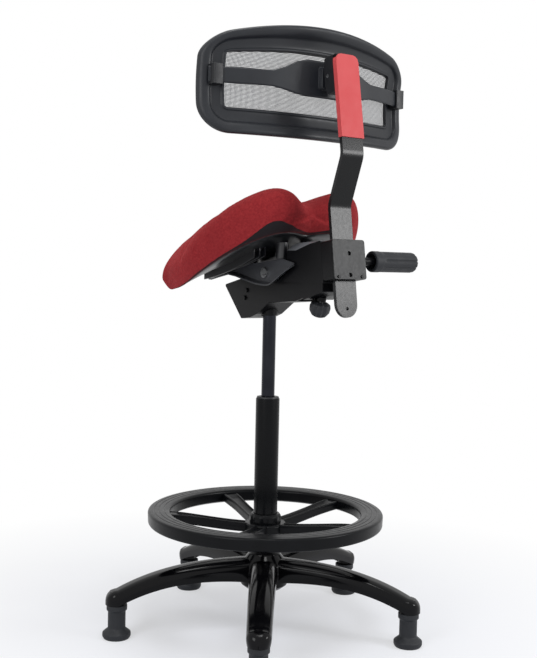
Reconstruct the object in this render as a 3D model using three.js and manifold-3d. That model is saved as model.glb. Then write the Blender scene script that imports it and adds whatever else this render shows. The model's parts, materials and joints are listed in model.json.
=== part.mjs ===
import * as THREE from "three";
import { mergeVertices } from "three/addons/utils/BufferGeometryUtils.js";
import Module from "manifold-3d";

// Perch stool with a five-arm base, a foot ring, a gas lift, a tilting saddle seat and a mesh backrest that
// hangs on a bent flat bar. Millimetres, +Z up; the sitter faces -Y and the sitter's left is +X.

const wasm = await Module();
wasm.setup();

// Clearances and fineness

const seatGap = 0.3; // between two pieces that rest on each other
const slideGap = 0.4; // between two pieces that slide or turn in each other
const overrun = 10; // how far a cut runs past the piece that it cuts
const weldDepth = 0.5; // how far two joined shapes run into each other
const hair = 0.01; // keeps two faces from lying on each other
const weldDistance = 1e-4;
const arcSteps = 3; // chords on a rounded corner
const gentleTurn = 20; // a corner that turns less than this, in degrees, isn't rounded
const roundSteps = 16; // facets of a small round piece
const bigRoundSteps = 44; // facets of the foot ring

// Driving dimensions

const column = {
  tubeRadius: 25,
  tubeWall: 2.5,
  tubeBottom: 88,
  tubeTop: 488,
  plateThick: 4,
  bushLength: 60,
  bushFlange: 4,
  bushFlangeRadius: 24,
  cylinderRadius: 14,
  cylinderWall: 2.5,
  cylinderBottom: 300,
  cylinderUp: -86, // top of the gas spring
  glandThick: 14,
  headThick: 16,
  taperLength: 38,
  taperTopRadius: 13,
  rodRadius: 5,
  rodTop: 470,
  rodBottom: 81,
  pistonRadius: 10.6,
  pistonThick: 12,
  shoulderRadius: 8,
  shoulderThick: 5,
  bearingRadius: 15,
  bearingThick: 7,
  grooveDepth: 1,
  clipRadius: 11,
  clipThick: 2.2,
  valveRadius: 3,
  valveRise: 6,
  valveDepth: 9,
};

const base = {
  arms: 5,
  frontArmAngle: 270,
  glideCircle: 312.6,
  hubBottom: 85,
  hubRadius: 52,
  hubTop: 150,
  neckRadius: 30,
  neckTop: 199,
  armRootTop: 149,
  armEndTop: 87,
  armRootDepth: 50,
  armEndDepth: 17,
  armRootWidth: 54,
  armEndWidth: 41,
  armSag: 1.9, // power of the arm's fall towards its end
  armThinning: 1.25, // power of the loss of depth
  armStations: 8,
  wall: 4.5,
  ribThick: 4,
};

const glide = {
  discRadius: 29,
  discHeight: 17,
  discRound: 6,
  postRadius: 18,
  collarRadius: 21,
  collarHeight: 11,
  height: 69.6,
  stemRadius: 5.5,
  stemReach: 11,
  stemDepth: 32,
  stemGripRadius: 6.6,
};

const ring = {
  outerRadius: 248,
  innerRadius: 201,
  top: 251.6,
  height: 28,
  rimRound: 11,
  wall: 6,
  grooveWidth: 3,
  grooveDepth: 1.6,
  grooves: 1,
  hubRadius: 45,
  hubTop: 225,
  hubBottom: 199.4,
  firstSpokeAngle: 259.25,
  spokes: 5,
  spokeWidth: 27,
  spokeEndWidth: 35,
  spokeDepth: 19,
  spokeGroove: 5,
  colletWall: 2.6,
  colletHeight: 30,
  colletSlit: 3,
  collarRadius: 33,
  collarHeight: 19,
  collarGrips: 6,
  collarGripDepth: 1.6,
};

// In the head, a value named up is a height over the seat's underside, seat.height, and below it is negative.
const housing = {
  halfWidth: 32,
  wall: 3,
  front: -127,
  rear: 193,
  deep: 132.6, // from the seat's underside to the lowest point
  cornerRound: 6,
  socketRadius: 17.5,
  socketLength: 38,
  socketUp: -84,
  lobeRadius: 14,
};
// The side's front top, lower edge and rear top: along from front to rear, and down as a share of the depth.
const housingFrontShares = [0, 0.468];
const housingEdgeShares = [
  [0.211, 1],
  [0.322, 0.966],
  [0.397, 0.905],
  [0.465, 0.807],
  [0.528, 0.717],
  [0.815, 0.672],
  [0.913, 0.603],
  [0.972, 0.49],
];
const housingRearShare = 0.272;
const floorPoints = 6; // how many points of the lower edge the floor follows

const pivot = { y: 46, up: -34, radius: 6, headRadius: 10.5, headThick: 5, nutThick: 7, nutFlats: 19 };

const lever = {
  y: -6,
  up: -73,
  radius: 4,
  reach: 128,
  paddleHalf: 12,
  paddleThick: 7,
  paddleLength: 52,
  presserHalf: 4,
  valveGap: 0.6,
};

const tilt = { y: -48, up: -74, radius: 4, reach: 92, paddleHalf: 12, paddleThick: 7, paddleLength: 42 };

const frameSeat = {
  halfWidth: 44.5,
  wall: 3,
  webFront: -150,
  webRear: 104,
  webUp: -16, // top of the web at the column
  webSlope: 0.0985,
  ribs: 3,
  ribSpread: 14,
  ribWidth: 8,
  ribHeight: 3.4,
  lipWidth: 8,
  lipDrop: 5,
  lobeRadius: 23,
};
// The flange's lower edge: how far along the plate's front reach, and down as a share of the lobe's depth.
const flangeEdgeShares = [
  [-1.08, 0.33],
  [-0.93, 0.37],
  [-0.59, 0.24],
  [-0.32, 0.42],
  [-0.07, 0.68],
  [0.16, 0.88],
  [0.4, 1],
  [0.5, 0.96],
  [0.62, 0.79],
  [0.8, 0.53],
  [0.94, 0.38],
];

const seat = {
  halfWidth: 197.5,
  halfLength: 187,
  middle: -13, // middle of the outline, along Y
  height: 786, // underside on the centre line where the rise starts; the whole head follows it
  rise: 62.5, // how much higher the rear edge lies
  riseFrom: -163,
  riseTo: 162,
  droop: 105, // fall of the front corners below the centre line
  droopPower: 1.42,
  thick: 93,
  frontThinning: 0.25,
  edgeShare: 0.35,
  bulgeShare: 0.47,
  valley: 35.5,
  valleyWidth: 55,
  panThick: 8,
  panShare: 0.82,
  hangShare: 0.085, // how far the cushion hangs below the pan's edge
  ribThick: 2.6,
  ribDepth: 17,
  ribFirst: 57,
  ribPitch: 13,
  ribFront: -128,
  ribRear: 62,
  bossRadius: 13,
  boltX: 31,
  boltFront: -118,
  boltRear: 84,
  boltRadius: 3.4,
  boltHeadRadius: 7,
  boltHeadThick: 4,
  boltDepth: 7,
};
// Half of the seat's plan outline from the rear notch round to the front, as shares of its half sizes.
const seatOutlineShares = [
  [0, 0.86],
  [0.16, 0.915],
  [0.33, 0.955],
  [0.53, 0.895],
  [0.73, 0.7],
  [0.9, 0.42],
  [0.99, 0.05],
  [0.95, -0.35],
  [0.87, -0.7],
  [0.8, -0.92],
  [0.48, -1],
  [0, -1.02],
];

const arm = {
  halfWidth: 39,
  wall: 3,
  topFrontY: 115,
  topFrontUp: 26,
  topRearUp: 30,
  frontLean: 7,
  shoulderHalf: 22, // half of the flat top between the slanted shoulders
  shoulderDrop: 16,
  bottomUp: -51,
  lobeRadius: 17,
  lobeTop: 12,
  gussetFront: 163,
  gussetFrontUp: -86,
  gussetRearUp: -68,
  gussetTopUp: -38,
  gussetRear: 226,
};
// How far the arm's shoulders reach down at places along its top, from the front to the bar.
const shoulderShares = [
  [-0.2, 0.9],
  [0.25, 1],
  [0.66, 0.35],
  [0.96, 0.05],
  [1.2, -0.2],
];

const knob = {
  y: 176,
  up: -89,
  tilt: 16,
  radius: 21,
  height: 30,
  lobes: 7,
  lobeDepth: 2.2,
  screwRadius: 5,
  screwReach: 24,
  bossRadius: 9,
  bossDown: 2,
};

const bar = {
  width: 50,
  thick: 8,
  lean: 8.2, // the lower part leans forward, degrees
  joggle: 20.6, // the middle part goes back again
  upperLean: 9.2,
  clampUp: -8,
  clampY: 241,
  lowerEnd: -109,
  firstBend: 106,
  joggleLength: 100,
  upperLength: 191,
  bendRound: 9,
  endHoleRadius: 3.5,
  endHoleUp: 17,
};

const clamp = {
  halfWidth: 39,
  halfHeight: 38,
  front: 15,
  rear: 16.5,
  cornerRound: 5,
  plateThick: 3.4,
  centreHoleRadius: 4,
  centreHoleUps: [-29.5, 11.5],
  screwX: 28,
  screwDown: 33,
  screwRadius: 2.2,
  screwHeadRadius: 3.2,
  screwHeadThick: 1.6,
  screwDepth: 11,
};

const grip = {
  screwRadius: 8,
  screwTip: 5,
  start: 70,
  end: 178,
  radius: 20,
  flutes: 8,
  fluteDepth: 1.3,
  collarRadius: 20.6,
  collarLength: 16,
  collarRound: 1.5,
  hollowRadius: 15,
  hollowDepth: 9,
  endRound: 9,
  padLength: 8,
  padTravel: 3,
  padHalfHeight: 9,
};

const cover = { thick: 2.6, from: 32, endAbove: 0.6, corner: 13, edge: 1.6 };

const joint = {
  y: 211, // backrest pivot
  down: 38.06526, // how far it lies below the bar's upper end
  pinRadius: 4,
  blockHalfWidth: 25,
  blockHalfHeight: 35,
  blockBack: 4.5,
  blockRound: 2,
  lugHalfWidth: 11.5,
  lugRadius: 12,
  screwRadius: 3,
  screwHeadRadius: 5.4,
  screwUp: 22,
  screwDepth: 9,
  countersink: 3,
};

const bracket = {
  halfLength: 236,
  plateY: 182,
  sag: 56.5,
  thick: 7,
  plateHeight: 70,
  bandHeight: 30,
  plateHalf: 48,
  taperEnd: 124,
  underJoint: 9,
  plateUp: 7,
  bossHalfWidth: 23,
  bossHalfHeight: 22,
  bossRear: 193.5,
};

const back = {
  halfWidth: 248,
  halfHeight: 107,
  corner: 56,
  crown: 0.36, // how far the upper edge falls towards its ends, as a share
  border: 49,
  underJoint: 8.5,
  y: 138.5,
  sag: 42, // how far the ends curve forward
  lumbar: 19.5, // how far the upper and lower edges stand back
  lean: 3.6,
  rimDepth: 17,
  stepDepth: 8,
  frontDepth: 2,
  pathSteps: 48,
  meshThick: 1.2,
  clipX: 222,
  clipHalfWidth: 10,
  clipHalfHeight: 18.5,
  clipWall: 4,
};

// Heights in the head
const level = (up) => seat.height + up;
const cylinderTop = level(column.cylinderUp);
const socketTop = level(housing.socketUp);
const pivotZ = level(pivot.up);
const leverZ = level(lever.up);
const tiltZ = level(tilt.up);
const clampZ = level(bar.clampUp);

// Finishes

const finish = (color, roughness, metalness) =>
  new THREE.MeshStandardMaterial({ color, roughness, metalness });
const castBlack = finish(0x141316, 0.22, 0.35);
const steelBlack = finish(0x16151a, 0.38, 0.5);
const chromeBlack = finish(0x30343a, 0.25, 0.8);
const brightSteel = finish(0xb4b6b8, 0.3, 1);
const mouldedBlack = finish(0x2a2d30, 0.5, 0);
const rubberBlack = finish(0x26282b, 0.65, 0);
const redFabric = finish(0x8a1f24, 0.9, 0);
const redVinyl = finish(0xd9494c, 0.55, 0);
const greyMesh = finish(0x8f9298, 0.8, 0);
const brass = finish(0xa08a55, 0.35, 0.9);

// Tools for making solids

const radians = THREE.MathUtils.degToRad;
const axisX = new THREE.Vector3(1, 0, 0);
const axisY = new THREE.Vector3(0, 1, 0);
const axisZ = new THREE.Vector3(0, 0, 1);
const layOut = {
  x: new THREE.Matrix4().makeBasis(axisY, axisZ, axisX), // outline in y, z
  y: new THREE.Matrix4().makeBasis(axisX, axisZ, axisY), // outline in x, z
  z: new THREE.Matrix4(), // outline in x, y
};

// A closed geometry as a solid, with its faces turned outwards.
function solid(geometry) {
  const bare = geometry.index ? geometry.toNonIndexed() : geometry.clone();
  bare.deleteAttribute("normal");
  bare.deleteAttribute("uv");
  const merged = mergeVertices(bare, weldDistance);
  const corners = merged.index.array;
  const kept = [];
  for (let i = 0; i < corners.length; i += 3) {
    const [a, b, c] = corners.subarray(i, i + 3);
    if (a !== b && b !== c && c !== a) kept.push(a, b, c);
  }
  const vertProperties = merged.attributes.position.array;
  const make = (order) => {
    const triVerts = Uint32Array.from(order);
    return new wasm.Manifold(new wasm.Mesh({ numProp: 3, vertProperties, triVerts }));
  };
  const made = make(kept);
  return made.volume() < 0 ? make(kept.reverse()) : made;
}

// An outline through corners given as [a, b, radius]; a corner with a radius becomes an arc.
function outline(corners, steps = arcSteps) {
  const points = [];
  corners.forEach(([a, b, radius = 0], i) => {
    const here = new THREE.Vector2(a, b);
    const last = corners[(i + corners.length - 1) % corners.length];
    const next = corners[(i + 1) % corners.length];
    const back = new THREE.Vector2(last[0], last[1]).sub(here);
    const on = new THREE.Vector2(next[0], next[1]).sub(here);
    const half = Math.acos(THREE.MathUtils.clamp(back.dot(on) / back.length() / on.length(), -1, 1)) / 2;
    const turned = 180 - THREE.MathUtils.radToDeg(half) * 2;
    if (!radius || turned < gentleTurn) {
      points.push(here);
      return;
    }
    const reach = Math.min(radius / Math.tan(half), back.length() / 2, on.length() / 2);
    const bend = reach * Math.tan(half);
    back.normalize();
    on.normalize();
    const middle = back.clone().add(on).normalize().multiplyScalar(bend / Math.sin(half));
    const centre = here.clone().add(middle);
    const start = back.multiplyScalar(reach).add(here).sub(centre);
    const end = on.multiplyScalar(reach).add(here).sub(centre);
    const from = start.angle();
    const turn = Math.atan2(start.cross(end), start.dot(end));
    for (let k = 0; k <= steps; k++) {
      const angle = from + (turn * k) / steps;
      points.push(new THREE.Vector2(Math.cos(angle), Math.sin(angle)).multiplyScalar(bend).add(centre));
    }
  });
  return new THREE.Shape(points);
}

const rectangle = (a0, a1, b0, b1, radius = 0) =>
  outline([
    [a0, b0, radius],
    [a1, b0, radius],
    [a1, b1, radius],
    [a0, b1, radius],
  ]);

const circle = (a, b, radius, steps = roundSteps) =>
  new THREE.Shape(
    Array.from({ length: steps }, (_, i) => {
      const angle = (2 * Math.PI * i) / steps;
      return new THREE.Vector2(a + radius * Math.cos(angle), b + radius * Math.sin(angle));
    }),
  );

// A strip of even thickness along a line of points, as an outline.
function strip(points, thick) {
  const left = [];
  const right = [];
  points.forEach(([a, b], i) => {
    const last = points[Math.max(i - 1, 0)];
    const next = points[Math.min(i + 1, points.length - 1)];
    const into = new THREE.Vector2(a - last[0], b - last[1]);
    const out = new THREE.Vector2(next[0] - a, next[1] - b);
    if (!into.length()) into.copy(out);
    if (!out.length()) out.copy(into);
    into.normalize();
    out.normalize();
    const along = into.clone().add(out).normalize();
    const width = thick / 2 / Math.max(along.dot(out), 0.5);
    left.push(new THREE.Vector2(a - along.y * width, b + along.x * width));
    right.unshift(new THREE.Vector2(a + along.y * width, b - along.x * width));
  });
  return new THREE.Shape([...left, ...right]);
}

// An outline given thickness along an axis.
function prism(shape, from, to, axis) {
  const geometry = new THREE.ExtrudeGeometry(shape, { depth: to - from, bevelEnabled: false });
  geometry.translate(0, 0, from);
  return solid(geometry.applyMatrix4(layOut[axis]));
}

// A profile of [radius, height] turned round the Z axis; off the axis it closes on itself.
function revolve(profile, steps = roundSteps) {
  const points = profile.map(([r, z]) => new THREE.Vector2(r, z));
  if (points[0].x > 0) points.push(points[0].clone());
  return solid(new THREE.LatheGeometry(points, steps).rotateX(Math.PI / 2));
}

const disc = (radius, from, to, steps) =>
  revolve(
    [
      [0, from],
      [radius, from],
      [radius, to],
      [0, to],
    ],
    steps,
  );

const tube = (inner, outer, from, to, steps) =>
  revolve(
    [
      [inner, from],
      [outer, from],
      [outer, to],
      [inner, to],
    ],
    steps,
  );

// A cylinder along X or Y.
const barAlong = (axis, centre, radius, from, to, steps) => prism(circle(
  ...centre,
  radius,
  steps,
), from, to, axis);

// A skin through rows of points. Closed rows make a tube, and a closed run of rows makes a ring.
function skin(rows, ringed) {
  const width = rows[0].length;
  const positions = rows.flat().flatMap((p) => [p.x, p.y, p.z]);
  const index = [];
  const last = ringed ? rows.length : rows.length - 1;
  for (let i = 0; i < last; i++) {
    const j = (i + 1) % rows.length;
    for (let k = 0; k < width; k++) {
      const n = (k + 1) % width;
      index.push(i * width + k, j * width + k, j * width + n);
      index.push(i * width + k, j * width + n, i * width + n);
    }
  }
  if (!ringed) {
    for (const [row, turn] of [
      [0, 1],
      [rows.length - 1, -1],
    ]) {
      const centre = new THREE.Vector3();
      rows[row].forEach((p) => centre.addScaledVector(p, 1 / width));
      const hub = positions.length / 3;
      positions.push(centre.x, centre.y, centre.z);
      for (let k = 0; k < width; k++) {
        const n = (k + 1) % width;
        const pair = turn > 0 ? [row * width + k, row * width + n] : [row * width + n, row * width + k];
        index.push(hub, ...pair);
      }
    }
  }
  const geometry = new THREE.BufferGeometry();
  geometry.setAttribute("position", new THREE.Float32BufferAttribute(positions, 3));
  return solid(geometry.setIndex(index));
}

const join = (...solids) => solids.reduce((all, one) => all.add(one));
const cut = (body, ...tools) => tools.reduce((rest, tool) => rest.subtract(tool), body);
const spin = (body, degrees) => body.rotate([0, 0, degrees]);
const mix = THREE.MathUtils.lerp;
const smooth = (t) => THREE.MathUtils.smoothstep(t, 0, 1);

// The stool stands with the middle of its footprint on the origin, so the column is a little behind it.
const rearArmAngle = base.frontArmAngle - 180 - 180 / base.arms;
const frontReach = base.glideCircle + glide.discRadius;
const rearReach = base.glideCircle * Math.sin(radians(rearArmAngle)) + glide.discRadius;
const stool = new THREE.Group();
stool.position.y = (frontReach - rearReach) / 2;

function piece(name, body, material, parent = stool) {
  const made = body.getMesh();
  const geometry = new THREE.BufferGeometry();
  geometry.setAttribute("position", new THREE.BufferAttribute(Float32Array.from(made.vertProperties), 3));
  geometry.setIndex(new THREE.BufferAttribute(Uint32Array.from(made.triVerts), 1));
  geometry.computeVertexNormals();
  const mesh = new THREE.Mesh(geometry, material);
  mesh.name = name;
  parent.add(mesh);
  return mesh;
}

// Base: a die-cast star with hollow arms

const armTop = (r) =>
  base.armRootTop - (base.armRootTop - base.armEndTop) * (r / base.glideCircle) ** base.armSag;
const armDepth = (r) =>
  base.armEndDepth + (base.armRootDepth - base.armEndDepth) * (1 - r / base.glideCircle) ** base.armThinning;
const armWidth = (r) => mix(base.armRootWidth, base.armEndWidth, r / base.glideCircle);

// One cross-section of an arm: flat below, with a rounded back.
function armSection(r, half, top, depth) {
  const shares = [
    [-0.94, 1],
    [-1, 0.45],
    [-0.84, 0.16],
    [-0.45, 0.02],
    [0.45, 0.02],
    [0.84, 0.16],
    [1, 0.45],
    [0.94, 1],
  ];
  return shares.map(([side, down]) => new THREE.Vector3(r, side * half, top - down * depth));
}

function starArm() {
  const rows = [];
  for (let i = 0; i < base.armStations; i++) {
    const r = mix(0, base.glideCircle, i / (base.armStations - 1));
    rows.push(armSection(r, armWidth(r) / 2, armTop(r), armDepth(r)));
  }
  // The nose rounds off over the glide.
  const nose = base.armEndWidth / 2;
  for (const angle of [35, 75]) {
    const r = base.glideCircle + nose * Math.sin(radians(angle));
    const half = nose * Math.cos(radians(angle));
    const drop = (base.armEndDepth / 3) * (1 - Math.cos(radians(angle)));
    rows.push(armSection(r, half, base.armEndTop - drop, base.armEndDepth - drop));
  }
  return skin(rows);
}

// The hollow under an arm, in two pockets with a rib between them.
function armPockets() {
  const start = base.hubRadius + base.ribThick;
  const end = base.glideCircle - base.armEndWidth / 2 - base.ribThick;
  const pockets = 2;
  const length = (end - start - (pockets - 1) * base.ribThick) / pockets;
  return Array.from({ length: pockets }, (_, i) => {
    const from = start + i * (length + base.ribThick);
    const rows = [from, from + length].map((r) => {
      const half = armWidth(r) / 2 - base.wall;
      const depth = armDepth(r);
      return armSection(r, half * 0.94, armTop(r) - base.wall, depth + overrun);
    });
    return skin(rows);
  });
}

function starBase() {
  const bore = column.tubeRadius + seatGap;
  const hub = revolve(
    [
      [bore, base.hubBottom],
      [base.hubRadius * 0.74, base.hubBottom],
      [base.hubRadius * 0.95, base.hubBottom + base.wall * 2],
      [base.hubRadius, base.hubTop - base.wall * 6],
      [base.hubRadius * 0.95, base.hubTop - base.wall * 2.4],
      [base.hubRadius * 0.8, base.hubTop],
      [base.neckRadius * 1.1, base.hubTop + base.wall * 2],
      [base.neckRadius, base.hubTop + base.wall * 4],
      [base.neckRadius, base.neckTop],
      [bore, base.neckTop],
    ],
    24,
  );
  const arms = [];
  const pockets = [];
  const sockets = [];
  const armBody = starArm();
  const hollow = armPockets();
  const stemHole = disc(
    glide.stemGripRadius + seatGap,
    0,
    glide.height + seatGap + glide.stemReach + seatGap,
    8,
  );
  for (let i = 0; i < base.arms; i++) {
    const angle = base.frontArmAngle + (360 / base.arms) * i;
    arms.push(spin(armBody, angle));
    hollow.forEach((pocket) => pockets.push(spin(pocket, angle)));
    sockets.push(spin(stemHole.translate([base.glideCircle, 0, 0]), angle));
  }
  const boreCut = disc(bore, 0, base.neckTop + overrun, 24);
  return cut(join(hub, ...arms), boreCut, ...pockets, ...sockets);
}

piece("star_base", starBase(), castBlack);

// Glides: a moulded foot on a steel stem that is driven into the arm's end

const glideFoot = cut(
  revolve(
    [
      [0, 0],
      [glide.discRadius - glide.discRound / 2, 0],
      [glide.discRadius, glide.discRound],
      [glide.discRadius, glide.discHeight - glide.discRound],
      [glide.discRadius - glide.discRound, glide.discHeight],
      [glide.postRadius, glide.discHeight + glide.discRound / 2],
      [glide.postRadius, glide.height - glide.collarHeight - glide.discRound / 3],
      [glide.collarRadius, glide.height - glide.collarHeight],
      [glide.collarRadius, glide.height],
      [0, glide.height],
    ],
    16,
  ),
  disc(glide.stemRadius + seatGap, glide.height - glide.stemDepth, glide.height + overrun, 8),
);
const glideStem = revolve(
  [
    [0, glide.height - glide.stemDepth + seatGap],
    [glide.stemRadius, glide.height - glide.stemDepth + seatGap],
    [glide.stemRadius, glide.height + seatGap],
    [glide.stemGripRadius, glide.height + seatGap],
    [glide.stemGripRadius, glide.height + glide.stemReach / 2],
    [glide.stemRadius, glide.height + glide.stemReach / 2],
    [glide.stemRadius, glide.height + glide.stemReach],
    [0, glide.height + glide.stemReach],
  ],
  8,
);
for (let i = 0; i < base.arms; i++) {
  const corner = new THREE.Group();
  corner.rotation.z = radians(base.frontArmAngle + (360 / base.arms) * i);
  stool.add(corner);
  const place = [base.glideCircle, 0, 0];
  piece("glide_" + (i + 1), glideFoot, rubberBlack, corner).position.set(...place);
  piece("glide_stem_" + (i + 1), glideStem, brightSteel, corner).position.set(...place);
}

// Column: outer tube, bush, bearing and the gas spring's parts

const rodHole = column.rodRadius + slideGap;
const tubeBore = column.tubeRadius - column.tubeWall;
const plateTop = column.tubeBottom + column.plateThick;
const bearingTop = plateTop + seatGap + column.bearingThick;
const outerTube = revolve(
  [
    [rodHole, column.tubeBottom],
    [column.tubeRadius, column.tubeBottom],
    [column.tubeRadius, column.tubeTop],
    [tubeBore, column.tubeTop],
    [tubeBore, plateTop],
    [rodHole, plateTop],
  ],
  24,
);
piece("column_tube", outerTube, steelBlack);

const bushBore = column.cylinderRadius + slideGap;
const guideBush = revolve(
  [
    [bushBore, column.tubeTop - column.bushLength],
    [tubeBore - seatGap, column.tubeTop - column.bushLength],
    [tubeBore - seatGap, column.tubeTop + seatGap],
    [column.bushFlangeRadius, column.tubeTop + seatGap],
    [column.bushFlangeRadius - column.bushFlange / 3, column.tubeTop + column.bushFlange],
    [bushBore, column.tubeTop + column.bushFlange],
  ],
  24,
);
piece("guide_bush", guideBush, mouldedBlack);

const bearing = tube(rodHole, column.bearingRadius, plateTop + seatGap, bearingTop, 18);
piece("thrust_bearing", bearing, brightSteel);

const clipGroove = column.rodRadius - column.grooveDepth;
const clipTop = column.tubeBottom - seatGap;
piece(
  "retaining_clip",
  tube(column.rodRadius + slideGap, column.clipRadius, clipTop - column.clipThick, clipTop, 16),
  brightSteel,
);

const rodProfile = [
  [0, column.rodBottom],
  [clipGroove, column.rodBottom],
  [clipGroove, column.rodBottom + column.grooveDepth],
  [column.rodRadius, column.rodBottom + column.grooveDepth * 2],
  [column.rodRadius, bearingTop + slideGap],
  [column.shoulderRadius, bearingTop + slideGap],
  [column.shoulderRadius, bearingTop + slideGap + column.shoulderThick],
  [column.rodRadius, bearingTop + slideGap + column.shoulderThick],
  [column.rodRadius, column.rodTop - column.pistonThick],
  [column.pistonRadius, column.rodTop - column.pistonThick],
  [column.pistonRadius, column.rodTop],
  [0, column.rodTop],
];
piece("piston_rod", revolve(rodProfile, 16), brightSteel);

const cylinderBore = column.cylinderRadius - column.cylinderWall;
const cylinderHead = cylinderTop - column.headThick;
const cylinderProfile = [
  [0, column.cylinderBottom],
  [column.cylinderRadius, column.cylinderBottom],
  [column.cylinderRadius, cylinderTop - column.taperLength],
  [column.taperTopRadius, cylinderTop],
  [column.valveRadius + slideGap, cylinderTop],
  [column.valveRadius + slideGap, cylinderTop - column.valveDepth],
  [0, cylinderTop - column.valveDepth],
];
const cylinderHollow = revolve(
  [
    [0, column.cylinderBottom - overrun],
    [rodHole, column.cylinderBottom - overrun],
    [rodHole, column.cylinderBottom + column.glandThick],
    [cylinderBore, column.cylinderBottom + column.glandThick],
    [cylinderBore, cylinderHead],
    [0, cylinderHead],
  ],
  16,
);
piece("gas_cylinder", cut(revolve(cylinderProfile, 24), cylinderHollow), chromeBlack);

const valveTop = cylinderTop + column.valveRise;
const valvePin = disc(column.valveRadius, cylinderTop - column.valveDepth + column.valveRise, valveTop, 12);
piece("valve_pin", valvePin, brightSteel);

// Foot ring: one moulding with a rounded rim, grooves on its tread and five dished spokes

function ringRim() {
  const { outerRadius, innerRadius, top, height, rimRound, wall } = ring;
  const bottom = top - height;
  const profile = [
    [innerRadius, bottom + rimRound / 3],
    [innerRadius, top - rimRound * 0.7],
    [innerRadius + rimRound * 0.35, top - rimRound * 0.2],
    [innerRadius + rimRound, top],
  ];
  const treadFrom = innerRadius + rimRound;
  const treadTo = outerRadius - rimRound;
  for (let i = 1; i <= ring.grooves; i++) {
    const middle = mix(treadFrom, treadTo, i / (ring.grooves + 1));
    profile.push([middle - ring.grooveWidth / 2, top]);
    profile.push([middle, top - ring.grooveDepth]);
    profile.push([middle + ring.grooveWidth / 2, top]);
  }
  profile.push([treadTo, top]);
  profile.push([outerRadius - rimRound * 0.25, top - rimRound * 0.35]);
  profile.push([outerRadius, top - rimRound]);
  profile.push([outerRadius - rimRound * 0.2, bottom + rimRound * 0.5]);
  profile.push([outerRadius - rimRound, bottom]);
  profile.push([outerRadius - rimRound, bottom + height / 2]);
  profile.push([innerRadius + wall, bottom + height / 2]);
  profile.push([innerRadius + wall, bottom]);
  return revolve(profile, bigRoundSteps);
}

function ringSpoke() {
  const inner = ring.hubRadius - ring.wall;
  const outer = ring.innerRadius + ring.wall / 2;
  const rimTop = ring.top - ring.rimRound * 0.6;
  const rows = [0, 0.35, 0.75, 1].map((t) => {
    const r = mix(inner, outer, t);
    const half = mix(ring.spokeWidth, ring.spokeEndWidth, smooth((t - 0.5) * 2)) / 2;
    const top = mix(ring.hubTop, rimTop, smooth(t) * 0.5 + t * 0.5);
    const dish = ring.spokeGroove * (t > 0.9 ? 0.3 : 1);
    const edge = half * 0.72;
    const round = ring.spokeGroove / 2;
    const shape = [
      [-half * 0.8, -ring.spokeDepth],
      [-half, -round],
      [-edge, 0],
      [-edge + round, -dish],
      [edge - round, -dish],
      [edge, 0],
      [half, -round],
      [half * 0.8, -ring.spokeDepth],
    ];
    return shape.map(([side, up]) => new THREE.Vector3(r, side, top + up));
  });
  return skin(rows);
}

const colletBore = column.tubeRadius + slideGap;
const colletRadius = colletBore + ring.colletWall;
const hubBore = colletRadius + seatGap;
const collarBore = hubBore + slideGap;

function footRing() {
  const hub = revolve(
    [
      [hubBore, ring.hubBottom + seatGap],
      [ring.hubRadius * 0.9, ring.hubBottom + seatGap],
      [ring.hubRadius, ring.hubBottom + ring.wall],
      [ring.hubRadius, ring.hubTop - ring.wall / 2],
      [ring.hubRadius - ring.wall / 2, ring.hubTop],
      [hubBore, ring.hubTop],
    ],
    20,
  );
  const spoke = ringSpoke();
  const spokes = Array.from({ length: ring.spokes }, (_, i) =>
    spin(spoke, ring.firstSpokeAngle + (360 / ring.spokes) * i),
  );
  const bore = disc(hubBore, 0, ring.top + overrun, 20);
  return cut(join(ringRim(), hub, ...spokes), bore);
}
piece("footring", footRing(), mouldedBlack);

const colletTop = ring.hubTop + ring.collarHeight / 2;
const colletBottom = colletTop - ring.colletHeight;
const slit = prism(
  rectangle(0, ring.hubRadius, -ring.colletSlit / 2, ring.colletSlit / 2),
  0,
  ring.top,
  "z",
);
piece(
  "footring_collet",
  cut(tube(colletBore, colletRadius, colletBottom, colletTop, 20), slit),
  mouldedBlack,
);

function lockCollar() {
  const from = ring.hubTop + seatGap;
  const to = from + ring.collarHeight;
  const body = revolve(
    [
      [collarBore, from],
      [ring.collarRadius, from],
      [ring.collarRadius, to - ring.wall],
      [ring.collarRadius - ring.wall * 0.7, to],
      [colletBore + seatGap, to],
      [colletBore + seatGap, colletTop + seatGap],
      [collarBore, colletTop + seatGap],
    ],
    20,
  );
  const grips = Array.from({ length: ring.collarGrips }, (_, i) => {
    const angle = (360 / ring.collarGrips) * i;
    const across = ring.collarRadius + ring.wall / 2 - ring.collarGripDepth;
    return spin(disc(ring.wall / 2, from - overrun, to - ring.wall, 5).translate([across, 0, 0]), angle);
  });
  return cut(body, ...grips);
}
piece("footring_lock_collar", lockCollar(), mouldedBlack);

// Mechanism housing: a pressed channel, deep in front, with the column's taper socket in its floor

const across = housing.halfWidth + overrun;
const pivotHole = (radius) => barAlong("x", [pivot.y, pivotZ], radius, -across * 2, across * 2, 12);

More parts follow.
